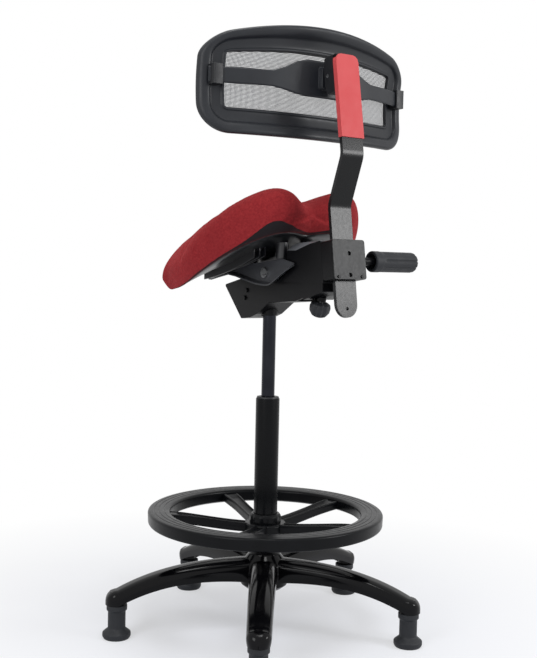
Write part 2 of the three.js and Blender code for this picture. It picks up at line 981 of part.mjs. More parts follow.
function housingBody() {
  const { halfWidth, wall, front, rear, deep, cornerRound, lobeRadius } = housing;
  const lobeTop = pivotZ + lobeRadius;
  const rearTop = level(-deep * housingRearShare);
  const place = ([along, down]) => [mix(front, rear, along), level(-deep * down)];
  const frontTop = place(housingFrontShares);
  const lowerEdge = housingEdgeShares.map(place);
  const bottom = lowerEdge[0];
  const sideOutline = outline([
    [...frontTop, cornerRound / 2],
    ...lowerEdge.map((point) => [...point, cornerRound]),
    [rear, rearTop - cornerRound, cornerRound],
    [rear - cornerRound, rearTop, cornerRound],
    [pivot.y + lobeRadius, lobeTop, lobeRadius],
    [pivot.y - lobeRadius, lobeTop, lobeRadius],
    [0, pivotZ, lobeRadius],
  ]);
  // The channel is open above and behind; its floor ends before the rear corner.
  const floor = lowerEdge.slice(0, floorPoints);
  const floorEnd = floor[floor.length - 1];
  const far = pivotZ + overrun * 3;
  const inside = outline([
    [frontTop[0] + wall, far],
    [frontTop[0] + wall, frontTop[1] + wall],
    [bottom[0] + wall, bottom[1] + wall],
    ...floor.slice(1).map(([y, z]) => [y, z + wall]),
    [floorEnd[0], floorEnd[1] - overrun],
    [rear + overrun, floorEnd[1] - overrun],
    [rear + overrun, far],
  ]);
  const channel = cut(
    prism(sideOutline, -halfWidth, halfWidth, "x"),
    prism(inside, wall - halfWidth, halfWidth - wall, "x"),
  );
  const socketHole = disc(housing.socketRadius + seatGap, 0, socketTop, 20);
  const shaftHole = barAlong("x", [lever.y, leverZ], lever.radius + slideGap * 2, -across, 0, 12);
  const tiltHole = barAlong("x", [tilt.y, tiltZ], tilt.radius + slideGap, -across, 0, 12);
  return cut(channel, socketHole, pivotHole(pivot.radius + slideGap), shaftHole, tiltHole);
}
piece("mechanism_housing", housingBody(), steelBlack);

const taperStart = cylinderTop - column.taperLength;
const socketProfile = [
  [column.cylinderRadius + seatGap, socketTop - housing.socketLength],
  [housing.socketRadius, socketTop - housing.socketLength],
  [housing.socketRadius, socketTop],
  [column.taperTopRadius + seatGap, socketTop],
  [column.taperTopRadius + seatGap, cylinderTop],
  [column.cylinderRadius + seatGap, taperStart],
];
piece("taper_socket", revolve(socketProfile, 20), steelBlack);

const boltHead = (radius, from, to, flats = 6) => prism(circle(
  pivot.y,
  pivotZ,
  radius,
  flats,
), from, to, "x");
const pinEnd = frameSeat.halfWidth + seatGap;
const pivotPin = join(
  barAlong("x", [pivot.y, pivotZ], pivot.radius, -pinEnd - pivot.nutThick, pinEnd + weldDepth, 16),
  boltHead(pivot.headRadius, pinEnd, pinEnd + pivot.headThick, 16),
);
piece("pivot_pin", pivotPin, brightSteel);
const nutRadius = pivot.nutFlats / 2 / Math.cos(Math.PI / 6);
const pivotNut = cut(
  boltHead(nutRadius, -pinEnd - pivot.nutThick, -pinEnd),
  pivotHole(pivot.radius + seatGap),
);
piece("pivot_nut", pivotNut, brightSteel);

// Height lever: a rod through the housing wall. Lifting its paddle presses the gas valve.
function paddleShape(spec) {
  const { y, radius, reach, paddleHalf, paddleLength } = spec;
  return outline([
    [-reach - paddleLength, y - paddleHalf, paddleHalf],
    [-reach, y - paddleHalf * 0.7, paddleHalf / 2],
    [-reach + paddleHalf, y - radius * 1.6, radius / 2],
    [-reach + paddleHalf, y + radius * 1.6, radius / 2],
    [-reach, y + paddleHalf * 0.7, paddleHalf / 2],
    [-reach - paddleLength, y + paddleHalf, paddleHalf],
  ]);
}
const leverRod = barAlong("x", [lever.y, leverZ], lever.radius, -lever.reach, -lever.radius, 12);
const presser = prism(
  rectangle(-lever.radius * 2, lever.presserHalf, lever.y - lever.radius, lever.presserHalf),
  valveTop + lever.valveGap,
  leverZ + lever.radius,
  "z",
);
piece("height_lever", join(leverRod, presser), brightSteel);
const grasp = prism(
  paddleShape(lever),
  leverZ - lever.paddleThick / 2,
  leverZ + lever.paddleThick / 2,
  "z",
);
const graspBore = barAlong("x", [lever.y, leverZ], lever.radius + seatGap, -lever.reach - seatGap, 0, 12);
piece("height_lever_paddle", join(cut(prismSleeve(), graspBore), cut(grasp, graspBore)), mouldedBlack);

// The paddle's neck, which the rod is pressed into.
function prismSleeve() {
  const from = -lever.reach - lever.paddleHalf;
  return barAlong("x", [lever.y, leverZ], lever.radius * 1.7, from, -lever.reach + lever.paddleHalf, 12);
}

// Tilt lever: a cranked rod whose paddle points forwards, turned to free the seat's tilt.
const tiltRod = barAlong(
  "x",
  [tilt.y, tiltZ],
  tilt.radius,
  -tilt.reach,
  -housing.halfWidth + housing.wall + tilt.radius,
  12,
);
const tiltPaddle = prism(
  outline([
    [-tilt.reach - tilt.paddleHalf * 1.4, tilt.y - tilt.paddleLength, tilt.paddleHalf],
    [-tilt.reach + tilt.paddleHalf * 0.6, tilt.y - tilt.paddleLength, tilt.paddleHalf],
    [-tilt.reach + tilt.paddleHalf * 0.6, tilt.y + tilt.radius, tilt.radius / 2],
    [-tilt.reach - tilt.paddleHalf, tilt.y + tilt.radius, tilt.radius / 2],
  ]),
  tiltZ - tilt.paddleThick / 2,
  tiltZ + tilt.paddleThick / 2,
  "z",
);
piece("tilt_lever", join(tiltRod, tiltPaddle), mouldedBlack);

// Seat frame: a pressed plate with stiffening ribs and two flanges that hang on the pivot pin

const webTop = (y) => level(frameSeat.webUp) + frameSeat.webSlope * y;
const boltPlaces = [-1, 1].flatMap((side) =>
  [seat.boltFront, seat.boltRear].map((y) => [side * seat.boltX, y]));
const boltHole = ([x, y]) => {
  const top = webTop(y) + seat.boltDepth + seatGap;
  return disc(seat.boltRadius + seatGap, webTop(y) - overrun * 2, top, 8).translate([x, y, 0]);
};

function seatFrame() {
  const {
    halfWidth,
    wall,
    webFront,
    webRear,
    ribs,
    ribSpread,
    ribWidth,
    ribHeight,
    lipWidth,
    lipDrop,
  } = frameSeat;
  const edge = new THREE.SplineCurve(
    flangeEdgeShares.map(([along, down]) => {
      const y = along * Math.abs(webFront);
      return new THREE.Vector2(y, webTop(y) - down * (webTop(pivot.y) - pivotZ + frameSeat.lobeRadius));
    }),
  ).getPoints(14);
  const rearEnd = edge[edge.length - 1];
  const flangeOutline = new THREE.Shape([
    ...edge,
    new THREE.Vector2(rearEnd.x, rearEnd.y + wall * 2),
    new THREE.Vector2(webRear, webTop(webRear)),
    new THREE.Vector2(edge[0].x, webTop(edge[0].x)),
  ]);
  const webLine = [webFront, webRear].map((y) => [y, webTop(y) - wall / 2]);
  const parts = [prism(strip(webLine, wall), -halfWidth, halfWidth, "x")];
  for (const side of [-1, 1]) {
    const inner = side * (halfWidth - wall);
    const outer = side * halfWidth;
    const tip = side * (halfWidth + lipWidth);
    parts.push(prism(flangeOutline, Math.min(inner, outer), Math.max(inner, outer), "x"));
    // The flange's lower edge is flared outwards and down.
    const lip = edge.map((p) => [
      new THREE.Vector3(inner, p.x, p.y),
      new THREE.Vector3(tip, p.x, p.y - lipDrop),
      new THREE.Vector3(tip, p.x, p.y - lipDrop + wall),
      new THREE.Vector3(outer, p.x, p.y + wall),
      new THREE.Vector3(inner, p.x, p.y + wall),
    ]);
    parts.push(skin(lip));
  }
  for (let i = 0; i < ribs; i++) {
    const x = mix(-ribSpread, ribSpread, i / (ribs - 1));
    const from = webFront + ribWidth;
    const to = webRear - ribWidth;
    const ribLine = [from, to].map((y) => [y, webTop(y) - wall - (ribHeight - weldDepth) / 2]);
    parts.push(prism(strip(ribLine, ribHeight + weldDepth), x - ribWidth / 2, x + ribWidth / 2, "x"));
  }
  return cut(join(...parts), pivotHole(pivot.radius + slideGap), ...boltPlaces.map(boltHole));
}
piece("seat_frame", seatFrame(), steelBlack);

// Seat pan and cushion: both follow one saddle surface

const seatTilt = (y) => (y - seat.riseFrom) / (seat.riseTo - seat.riseFrom);
const saddle = (x, y) => {
  const t = seatTilt(y);
  const fall = seat.droop * (1 - t) * Math.abs(x / seat.halfWidth) ** seat.droopPower;
  return seat.height + seat.rise * t * Math.abs(t) - fall;
};

// The plan outline as a closed curve, walked from the rear notch round both sides.
const halfOutline = seatOutlineShares.map(([
  a,
  b,
]) => new THREE.Vector3(a * seat.halfWidth, b * seat.halfLength, 0));
const mirrored = halfOutline.slice(1, -1).reverse();
const wholeOutline = [...halfOutline, ...mirrored.map((p) => new THREE.Vector3(-p.x, p.y, 0))];
const seatCurve = new THREE.CatmullRomCurve3(wholeOutline, true, "centripetal");
const seatSpokes = 40;
const seatRim = seatCurve.getSpacedPoints(seatSpokes).slice(0, seatSpokes);

// A solid of rings that shrink towards the middle; each ring is [share of the outline, height above the saddle].
function saddleSolid(rings, lift) {
  const rows = rings.map(([share, height]) =>
    seatRim.map((p) => {
      const x = p.x * share;
      const y = p.y * share + seat.middle;
      return new THREE.Vector3(x, y, saddle(x, y) + lift(x, y, height));
    }),
  );
  return skin(rows);
}

// The pan's upper side and the cushion's underside share their rings, so that they fit each other.
const small = 0.03; // the innermost ring, as a share of the outline
const sharedShares = [small, seat.panShare * 0.4, seat.panShare * 0.75, seat.panShare];
const panRings = [
  ...sharedShares.map((share) => [share, 0]),
  [seat.panShare, -seat.panThick * 0.8],
  ...sharedShares.slice(0, -1).reverse().map((share) => [share, -seat.panThick]),
];
const panBody = saddleSolid(panRings, (x, y, height) => height);
const panBosses = boltPlaces.map(([x, y]) => {
  const foot = webTop(y) + seatGap + frameSeat.webSlope * seat.bossRadius;
  return disc(seat.bossRadius, foot, saddle(x, y) - seat.panThick, 10).translate([x, y, 0]);
});
// Stiffening ribs under the pan, beside the frame; their lower edges follow the saddle.
const panRibs = [-1, 1].flatMap((side) =>
  [0, 1, 2].map((i) => {
    const x = side * (seat.ribFirst + i * seat.ribPitch);
    const stations = [0, 1 / 3, 2 / 3, 1].map((t) => mix(seat.ribFront, seat.ribRear, t));
    const upper = stations.map((y) => new THREE.Vector2(y, saddle(x, y) - seat.panThick / 2));
    const lower = stations.map((y) => new THREE.Vector2(y, saddle(x, y) - seat.panThick - seat.ribDepth));
    const shape = new THREE.Shape([...upper, ...lower.reverse()]);
    return prism(shape, x - seat.ribThick / 2, x + seat.ribThick / 2, "x");
  }),
);
piece("seat_pan", cut(join(panBody, ...panBosses, ...panRibs), ...boltPlaces.map(boltHole)), mouldedBlack);

const seatBolt = (y) => {
  const under = webTop(y) - frameSeat.wall - seatGap * 4;
  return join(
    disc(seat.boltRadius, under - weldDepth, webTop(y) + seat.boltDepth - slideGap * 2, 8),
    disc(seat.boltHeadRadius, under - seat.boltHeadThick, under, 6),
  );
};
boltPlaces.forEach(([x, y], i) => {
  piece("seat_bolt_" + (i + 1), seatBolt(y), brightSteel).position.set(x, y, 0);
});

const cushionRings = [];
for (const share of sharedShares) cushionRings.push([share, 0]);
cushionRings.push([seat.panShare + 0.016, -seat.hangShare * 0.85]);
cushionRings.push([mix(seat.panShare, 1, 0.5), -seat.hangShare]);
for (const angle of [-36, -4, 24, 50, 72]) {
  const turn = radians(angle);
  const share = 1 - seat.edgeShare * (1 - Math.cos(turn) ** 0.85);
  const under = seat.bulgeShare;
  const height = angle < 0 ? under * (1 + Math.sin(turn)) : under + (1 - under) * Math.sin(turn) ** 0.92;
  cushionRings.push([angle < 0 ? mix(1, share, 0.5) : share, height]);
}
for (const share of [0.6, 0.46, 0.32, 0.17, small]) cushionRings.push([share, 1]);

const cushionLift = (x, y, height) => {
  const t = smooth((seatTilt(y) - 0.35) / 0.65);
  const crease = seat.valley * t * Math.exp(-((x / seat.valleyWidth) ** 2));
  const front = THREE.MathUtils.clamp((seat.middle - y) / seat.halfLength, 0, 1);
  const crown = seat.thick * (1 - seat.frontThinning * front * front) - crease;
  return seatGap + crown * height;
};
piece("seat_cushion", saddleSolid(cushionRings, cushionLift), redFabric);

// Clamp group: it leans with the bar, whose middle runs along the group's Z axis

const leaning = new THREE.Group();
leaning.position.set(0, bar.clampY, clampZ);
leaning.rotation.x = radians(bar.lean);
stool.add(leaning);

// The arm ends on the clamp block's leaning front face.
const clampFront = (z) => {
  const lean = radians(bar.lean);
  return bar.clampY - (clamp.front + seatGap) / Math.cos(lean) - (z - clampZ) * Math.tan(lean);
};

// Back arm: an inverted channel that straddles the housing and turns on the pivot pin

// What the slanted shoulders take off the arm's two upper edges, set in by a wall for the hollow.
function armShoulders(inset) {
  const { halfWidth, topFrontY, shoulderHalf, shoulderDrop } = arm;
  const front = new THREE.Vector2(topFrontY, level(arm.topFrontUp));
  const rear = new THREE.Vector2(clampFront(level(arm.topRearUp)), level(arm.topRearUp));
  return [-1, 1].map((side) =>
    skin(
      shoulderShares.map(([along, down]) => {
        const at = front.clone().lerp(rear, along);
        const top = at.y - inset;
        const drop = shoulderDrop * down;
        const corners = [
          [halfWidth - inset, top - drop],
          [halfWidth + overrun, top - drop],
          [halfWidth + overrun, top + overrun * 3],
          [shoulderHalf * 2 - halfWidth - inset, top + overrun * 3],
          [shoulderHalf * 2 - halfWidth - inset, top + drop],
        ];
        return corners.map(([x, z]) => new THREE.Vector3(side * x, at.x, z));
      }),
    ),
  );
}

function backArm() {
  const { halfWidth, wall, topFrontY, frontLean, lobeRadius, lobeTop } = arm;
  const [bottom, topRear, topFront] = [arm.bottomUp, arm.topRearUp, arm.topFrontUp].map(level);
  const side = outline([
    [pivot.y - lobeRadius, pivotZ - lobeRadius, lobeRadius],
    [pivot.y + lobeRadius * 3, bottom, lobeRadius],
    [clampFront(bottom), bottom, wall / 2],
    [clampFront(topRear), topRear, wall],
    [topFrontY, topFront, wall * 3],
    [topFrontY - frontLean, pivotZ + lobeTop, wall * 2],
    [pivot.y - lobeRadius, pivotZ + lobeTop, lobeRadius],
  ]);
  const far = bottom - overrun * 3;
  const open = pivotZ + lobeRadius * 2;
  const hollow = outline([
    [pivot.y - lobeRadius - overrun, far],
    [clampFront(far) - wall, far],
    [clampFront(topRear - wall) - wall, topRear - wall, wall],
    [topFrontY + wall, topFront - wall, wall * 2],
    [topFrontY - frontLean + wall, open],
    [pivot.y - lobeRadius - overrun, open],
  ]);
  const inside = cut(prism(hollow, wall - halfWidth, halfWidth - wall, "x"), ...armShoulders(wall));
  const outside = cut(prism(side, -halfWidth, halfWidth, "x"), ...armShoulders(0));
  return cut(outside, inside, pivotHole(pivot.radius + slideGap));
}
piece("back_arm", backArm(), steelBlack);

// Gusset: a tapered trough that is welded between the arm's walls and carries the angle knob's thread

const knobGroup = new THREE.Group();
knobGroup.position.set(0, knob.y, level(knob.up));
knobGroup.rotation.x = -radians(knob.tilt);
stool.add(knobGroup);

function armGusset() {
  const { gussetFront, gussetRear, wall } = arm;
  const [frontBottom, rearBottom, top] = [arm.gussetFrontUp, arm.gussetRearUp, arm.gussetTopUp].map(level);
  const halfWidth = arm.halfWidth - wall - seatGap;
  const sides = outline([
    [gussetFront, frontBottom, wall],
    [gussetRear, rearBottom, wall],
    [gussetRear, top],
    [gussetFront, top],
  ]);
  const slope = (rearBottom - frontBottom) / (gussetRear - gussetFront);
  const floorAt = (y) => frontBottom + wall + slope * (y - gussetFront);
  const inside = outline([
    [gussetFront - overrun, floorAt(gussetFront - overrun)],
    [gussetRear - wall, floorAt(gussetRear - wall)],
    [gussetRear - wall, top + overrun],
    [gussetFront - overrun, top + overrun],
  ]);
  const inner = prism(inside, wall - halfWidth, halfWidth - wall, "x");
  const place = (body) => body.rotate([-knob.tilt, 0, 0]).translate([0, knob.y, level(knob.up)]);
  const boss = place(disc(knob.bossRadius, knob.bossDown, knob.bossDown + wall * 3, 16));
  const bore = place(disc(knob.screwRadius + slideGap, -overrun, knob.screwReach + overrun, 12));
  return cut(join(cut(prism(sides, -halfWidth, halfWidth, "x"), inner), boss), bore);
}
piece("arm_gusset", armGusset(), steelBlack);

function angleKnob() {
  const { radius, height, lobes, lobeDepth } = knob;
  const profile = [
    [0, 0],
    [radius * 0.62, 0],
    [radius * 0.92, -height * 0.12],
    [radius, -height * 0.35],
    [radius * 0.95, -height * 0.65],
    [radius * 0.72, -height * 0.9],
    [radius * 0.4, -height],
    [0, -height],
  ];
  const grooves = Array.from({ length: lobes }, (_, i) => {
    const groove = disc(lobeDepth * 2, -height - overrun, overrun, 4).translate([radius + lobeDepth, 0, 0]);
    return spin(groove, (360 / lobes) * i);
  });
  return cut(revolve(profile, 21), ...grooves, disc(knob.screwRadius + seatGap, -height / 2, overrun, 12));
}
piece("angle_knob", angleKnob(), rubberBlack, knobGroup);
const angleScrew = disc(knob.screwRadius, seatGap - knob.height / 2, knob.screwReach, 12);
piece("angle_screw", angleScrew, brightSteel, knobGroup);

// Clamp: a steel block with a slot for the bar, welded to the arm, and a plate over its rear face

const plateHoles = (from, to) =>
  [-1, 1].map((side) => {
    const place = [side * clamp.screwX, -clamp.screwDown];
    return barAlong("y", place, clamp.screwRadius + seatGap, from, to, 8);
  });

function clampBlock() {
  const { halfWidth, halfHeight, front, rear, cornerRound } = clamp;
  const slotHalf = bar.width / 2 + slideGap;
  const slotDepth = bar.thick / 2 + slideGap;
  const tall = halfHeight + overrun;
  const body = prism(
    rectangle(-halfWidth, halfWidth, -halfHeight, halfHeight, cornerRound),
    -front,
    rear,
    "y",
  );
  const slot = prism(rectangle(-slotHalf, slotHalf, -slotDepth, slotDepth), -tall, tall, "z");
  const screwHole = barAlong("x", [0, 0], grip.screwRadius + slideGap, -halfWidth - overrun, 0, 12);
  const padHalf = grip.padHalfHeight + slideGap;
  const padEnd = -slotHalf - grip.padLength - grip.padTravel - slideGap;
  const padSlot = prism(rectangle(-slotDepth, slotDepth, -padHalf, padHalf), padEnd, 0, "x");
  return cut(body, slot, screwHole, padSlot, ...plateHoles(rear - clamp.screwDepth, rear + overrun));
}
piece("clamp_block", clampBlock(), steelBlack, leaning);

const plateFrom = clamp.rear + seatGap;
const plateTo = plateFrom + clamp.plateThick;
const platePlan = rectangle(
  -clamp.halfWidth,
  clamp.halfWidth,
  -clamp.halfHeight,
  clamp.halfHeight,
  clamp.cornerRound,
);
const centreHoles = clamp.centreHoleUps.map((z) =>
  barAlong("y", [0, z], clamp.centreHoleRadius, plateFrom - overrun, plateTo + overrun, 10),
);
const screwHoles = plateHoles(plateFrom - overrun, plateTo + overrun);
piece(
  "clamp_plate",
  cut(prism(platePlan, plateFrom, plateTo, "y"), ...centreHoles, ...screwHoles),
  steelBlack,
  leaning,
);
[-1, 1].forEach((side, i) => {
  const place = [side * clamp.screwX, -clamp.screwDown];
  const headFrom = plateTo + seatGap;
  const head = barAlong("y", place, clamp.screwHeadRadius, headFrom, headFrom + clamp.screwHeadThick, 10);
  const shank = barAlong(
    "y",
    place,
    clamp.screwRadius,
    plateFrom - clamp.screwDepth + slideGap * 2,
    headFrom + weldDepth,
    8,
  );
  piece("plate_screw_" + (i + 1), join(head, shank), steelBlack, leaning);
});

// Clamp screw, pad and grip on the sitter's right

const slotEdge = bar.width / 2 + slideGap;
const padOuter = slotEdge + grip.padLength;
const padPlan = rectangle(-bar.thick / 2, bar.thick / 2, -grip.padHalfHeight, grip.padHalfHeight);
piece("pressure_pad", prism(padPlan, -padOuter, -slotEdge, "x"), brass, leaning);

const screwEnd = -grip.end + grip.endRound * 2;
const screwStart = -padOuter - seatGap;
const clampScrew = join(
  barAlong("x", [0, 0], grip.screwTip, screwStart - grip.padTravel * 2, screwStart, 12),
  barAlong("x", [0, 0], grip.screwRadius, screwEnd, screwStart - grip.padTravel - slideGap * 2, 12),
);
piece("clamp_screw", clampScrew, steelBlack, leaning);

function clampGrip() {
  const {
    start,
    end,
    radius,
    flutes,
    fluteDepth,
    collarRadius,
    collarLength,
    collarRound,
    endRound,
  } = grip;
  const profile = [
    [0, start],
    [collarRadius - collarRound, start],
    [collarRadius, start + collarRound],
    [collarRadius, start + collarLength],
    [radius, start + collarLength + collarRound],
    [radius, end - endRound],
    [radius - endRound * 0.3, end - endRound * 0.3],
    [radius - endRound, end],
    [0, end],
  ];
  const body = revolve(profile, 24);
  const grooves = Array.from({ length: flutes }, (_, i) => {
    const groove = disc(fluteDepth * 2, start + collarLength + collarRound * 2, end + overrun, 4);
    return spin(groove.translate([radius + fluteDepth, 0, 0]), (360 / flutes) * i);
  });
  const hollow = disc(grip.hollowRadius, start - overrun, start + grip.hollowDepth, 12);
  const bore = disc(grip.screwRadius + seatGap, 0, -screwEnd + seatGap, 12);
  return cut(body, ...grooves, hollow, bore).rotate([0, -90, 0]);
}
piece("clamp_grip", clampGrip(), rubberBlack, leaning);

// Back bar: one flat bar with two bends

const leanBack = radians(bar.lean + bar.joggle);
const leanUp = radians(bar.upperLean - bar.lean);
const bendLow = [0, bar.firstBend];
const bendHigh = [
  Math.sin(leanBack) * bar.joggleLength,
  bar.firstBend + Math.cos(leanBack) * bar.joggleLength,
];
const barTop = [
  bendHigh[0] - Math.sin(leanUp) * bar.upperLength,
  bendHigh[1] + Math.cos(leanUp) * bar.upperLength,
];

// The bends are eased by a few short chords.
function easedLine(points, radius) {
  const shape = [points[0]];
  for (let i = 1; i < points.length - 1; i++) {
    const here = new THREE.Vector2(...points[i]);
    const before =
      new THREE.Vector2(...points[i - 1]).sub(here).normalize().multiplyScalar(radius).add(here);
    const after =
      new THREE.Vector2(...points[i + 1]).sub(here).normalize().multiplyScalar(radius).add(here);
    new THREE.QuadraticBezierCurve(before, here, after).getPoints(5).forEach((p) => shape.push([p.x, p.y]));
  }
  shape.push(points[points.length - 1]);
  return shape;
}
const barLine = easedLine([[0, bar.lowerEnd], bendLow, bendHigh, barTop], bar.bendRound);

function backBar() {
  const side = prism(strip(barLine, bar.thick), -bar.width / 2, bar.width / 2, "x");
  const face = outline(
    [
      [-bar.width / 2, bar.lowerEnd - hair, bar.width / 2],
      [bar.width / 2, bar.lowerEnd - hair, bar.width / 2],
      [bar.width / 2, barTop[1] + bar.thick, 0],
      [-bar.width / 2, barTop[1] + bar.thick, 0],
    ],
    6,
  );
  const front = prism(face, -bar.width * 2, bar.width * 3, "y");
  const endHole = barAlong(
    "y",
    [0, bar.lowerEnd + bar.endHoleUp],
    bar.endHoleRadius,
    -overrun,
    overrun,
    10,
  );
  return cut(side.intersect(front), endHole, ...blockScrewHoles());
}

// The upper part of the bar has a frame of its own, square to its face.
const upper = new THREE.Group();
upper.position.set(0, barTop[0], barTop[1]);
upper.rotation.x = leanUp;
leaning.add(upper);
const toUpper = (body) => body.rotate([bar.upperLean - bar.lean, 0, 0]).translate([0, ...barTop]);

// The backrest pivot hangs below the bar's upper end, and the bracket and the backrest follow it.
const barTopHere = new THREE.Vector3(0, ...barTop).applyEuler(leaning.rotation).add(leaning.position);
const jointZ = barTopHere.z - joint.down;
const bracketZ = jointZ - bracket.underJoint;
const backZ = jointZ - back.underJoint;
const pivotDown = new THREE.Vector3(0, joint.y - barTopHere.y, -joint.down);
pivotDown.applyEuler(new THREE.Euler(-radians(bar.upperLean), 0, 0));
const blockScrewUps = [-1, 1].map((side) => pivotDown.z + side * joint.screwUp);

function blockScrewHoles() {
  return blockScrewUps.map((z) => {
    const shank = barAlong("y", [0, z], joint.screwRadius + seatGap, -bar.thick, bar.thick, 10);
    const sink = barAlong(
      "y",
      [0, z],
      joint.screwHeadRadius + seatGap,
      bar.thick / 2 - joint.countersink,
      bar.thick,
      10,
    );
    return toUpper(join(shank, sink));
  });
}
piece("back_bar", backBar(), steelBlack, leaning);

const blockFace = -bar.thick / 2 - seatGap;
const blockPlan = outline([
  [blockFace, pivotDown.z - joint.blockHalfHeight, joint.blockRound],
  [blockFace, pivotDown.z + joint.blockHalfHeight, joint.blockRound],
  [pivotDown.y - joint.blockBack, pivotDown.z + joint.blockHalfHeight, joint.blockRound * 2],
  [pivotDown.y - joint.lugRadius * 0.75, pivotDown.z + joint.blockHalfHeight / 2, joint.lugRadius],
  [pivotDown.y - joint.lugRadius * 0.75, pivotDown.z - joint.blockHalfHeight / 2, joint.lugRadius],
  [pivotDown.y - joint.blockBack, pivotDown.z - joint.blockHalfHeight, joint.blockRound * 2],
]);
const lugSpace = outline([
  [pivotDown.y - joint.lugRadius * 3, pivotDown.z - joint.lugRadius * 2.5],
  [pivotDown.y + joint.lugRadius * 0.2, pivotDown.z - joint.lugRadius - slideGap * 2, joint.lugRadius],
  [
    pivotDown.y + joint.lugRadius + slideGap * 2,
    pivotDown.z - joint.lugRadius - slideGap * 2,
    joint.lugRadius,
  ],
  [
    pivotDown.y + joint.lugRadius + slideGap * 2,
    pivotDown.z + joint.lugRadius + slideGap * 2,
    joint.lugRadius,
  ],
  [pivotDown.y + joint.lugRadius * 0.2, pivotDown.z + joint.lugRadius + slideGap * 2, joint.lugRadius],
  [pivotDown.y - joint.lugRadius * 3, pivotDown.z + joint.lugRadius * 2.5],
]);
const pivotBlock = cut(
  prism(blockPlan, -joint.blockHalfWidth, joint.blockHalfWidth, "x"),
  prism(lugSpace, -joint.lugHalfWidth - slideGap, joint.lugHalfWidth + slideGap, "x"),
  barAlong("x", [pivotDown.y, pivotDown.z], joint.pinRadius + seatGap, -overrun * 4, overrun * 4, 12),
  ...blockScrewUps.map((z) =>
    barAlong("y", [0, z], joint.screwRadius + seatGap, blockFace - joint.screwDepth, overrun, 8)),
);
piece("pivot_block", pivotBlock, mouldedBlack, upper);
const pinReach = joint.blockHalfWidth - seatGap;
const backrestPin = barAlong("x", [pivotDown.y, pivotDown.z], joint.pinRadius, -pinReach, pinReach, 12);
piece("backrest_pin", backrestPin, brightSteel, upper);
blockScrewUps.forEach((z, i) => {
  const headFrom = bar.thick / 2 - joint.countersink + seatGap;
  const head = barAlong("y", [0, z], joint.screwHeadRadius, headFrom, bar.thick / 2, 10);
  const shank = barAlong(
    "y",
    [0, z],
    joint.screwRadius,
    blockFace - joint.screwDepth + slideGap * 2,
    headFrom + weldDepth,
    8,
  );
  piece("block_screw_" + (i + 1), join(head, shank), brightSteel, upper);
});

function barCover() {
  const half = bar.width / 2 + seatGap + cover.edge;
  const from = -bar.upperLength + cover.from;
  const to = cover.endAbove;
  const shape = outline([
    [-half, from, cover.edge / 2],
    [half, from, cover.edge / 2],
    [half, to, cover.corner],
    [-half, to, cover.corner],
  ]);
  const rear = bar.thick / 2 + seatGap;
  const front = -bar.thick / 2;
  const body = prism(shape, front, rear + cover.thick, "y");
  const inside = prism(
    rectangle(-bar.width / 2 - seatGap, bar.width / 2 + seatGap, from - overrun, to + overrun),
    front - overrun,
    rear,
    "y",
  );
  return cut(body, inside);
}
piece("bar_cover", barCover(), redVinyl, upper);

// Backrest bracket: a curved band that widens to a plate with one lug

const bandFall = (x) => bracket.sag * (x / bracket.halfLength) ** 2;

// The band as a solid, or the space that it needs with a clearance all round.
function band(halfLength, clearance) {
  const { plateY, plateHeight, bandHeight, plateHalf, taperEnd, plateUp } = bracket;
  const thick = bracket.thick + clearance * 2;
  const stations = 21;
  const rows = Array.from({ length: stations }, (_, i) => {
    const x = mix(-halfLength, halfLength, i / (stations - 1));
    const wide = 1 - smooth((Math.abs(x) - plateHalf) / (taperEnd - plateHalf));
    const half = mix(bandHeight, plateHeight, wide) / 2 + clearance;
    const slope = (-2 * bandFall(x)) / (x || 1);
    const through = new THREE.Vector3(-slope, 1, 0).normalize().multiplyScalar(thick / 2);
    const z = bracketZ + plateUp * wide;
    const centre = new THREE.Vector3(x, plateY - bandFall(x) + clearance, z).sub(through);
    const bevel = thick / 3;
    const section = [
      [-1, -half + bevel],
      [-0.4, -half],
      [0.4, -half],
      [1, -half + bevel],
      [1, half - bevel],
      [0.4, half],
      [-0.4, half],
      [-1, half - bevel],
    ];
    const corner = ([side, up]) =>
      centre.clone().addScaledVector(through, side).add(new THREE.Vector3(0, 0, up));
    return section.map(corner);
  });
  return skin(rows);
}

function bracketBody() {
  const { halfLength, plateY, thick, bossHalfWidth, bossHalfHeight, bossRear } = bracket;
  const lug = prism(
    outline([
      [plateY - thick / 2, jointZ - joint.lugRadius],
      [joint.y + joint.lugRadius, jointZ - joint.lugRadius, joint.lugRadius],
      [joint.y + joint.lugRadius, jointZ + joint.lugRadius, joint.lugRadius],
      [plateY - thick / 2, jointZ + joint.lugRadius],
    ]),
    -joint.lugHalfWidth,
    joint.lugHalfWidth,
    "x",
  );
  const hole = barAlong("x", [joint.y, jointZ], joint.pinRadius + slideGap, -overrun * 2, overrun * 2, 12);
  const bossFace = rectangle(
    -bossHalfWidth,
    bossHalfWidth,
    jointZ - bossHalfHeight,
    jointZ + bossHalfHeight,
    thick,
  );
  const boss = prism(bossFace, plateY - thick / 2, bossRear, "y");
  return cut(join(band(halfLength, 0), boss, lug), hole);
}
piece("backrest_bracket", bracketBody(), mouldedBlack);

// Backrest frame: a moulded ring that curves round the sitter, with a step inside its rear rim

// The upper edge is arched, and the whole backrest leans back a little.
const backFace = (x, up) => {
  const bow = back.lumbar * (up / back.halfHeight) ** 2 - back.sag * (x / back.halfWidth) ** 2;
  return back.y + bow + Math.tan(radians(back.lean)) * up;
};
const backPoint = (x, up, depth) => {
  const arched = up > 0 ? up * (1 - back.crown * (x / back.halfWidth) ** 2) : up;
  return new THREE.Vector3(x, backFace(x, arched) + depth, backZ + arched);
};

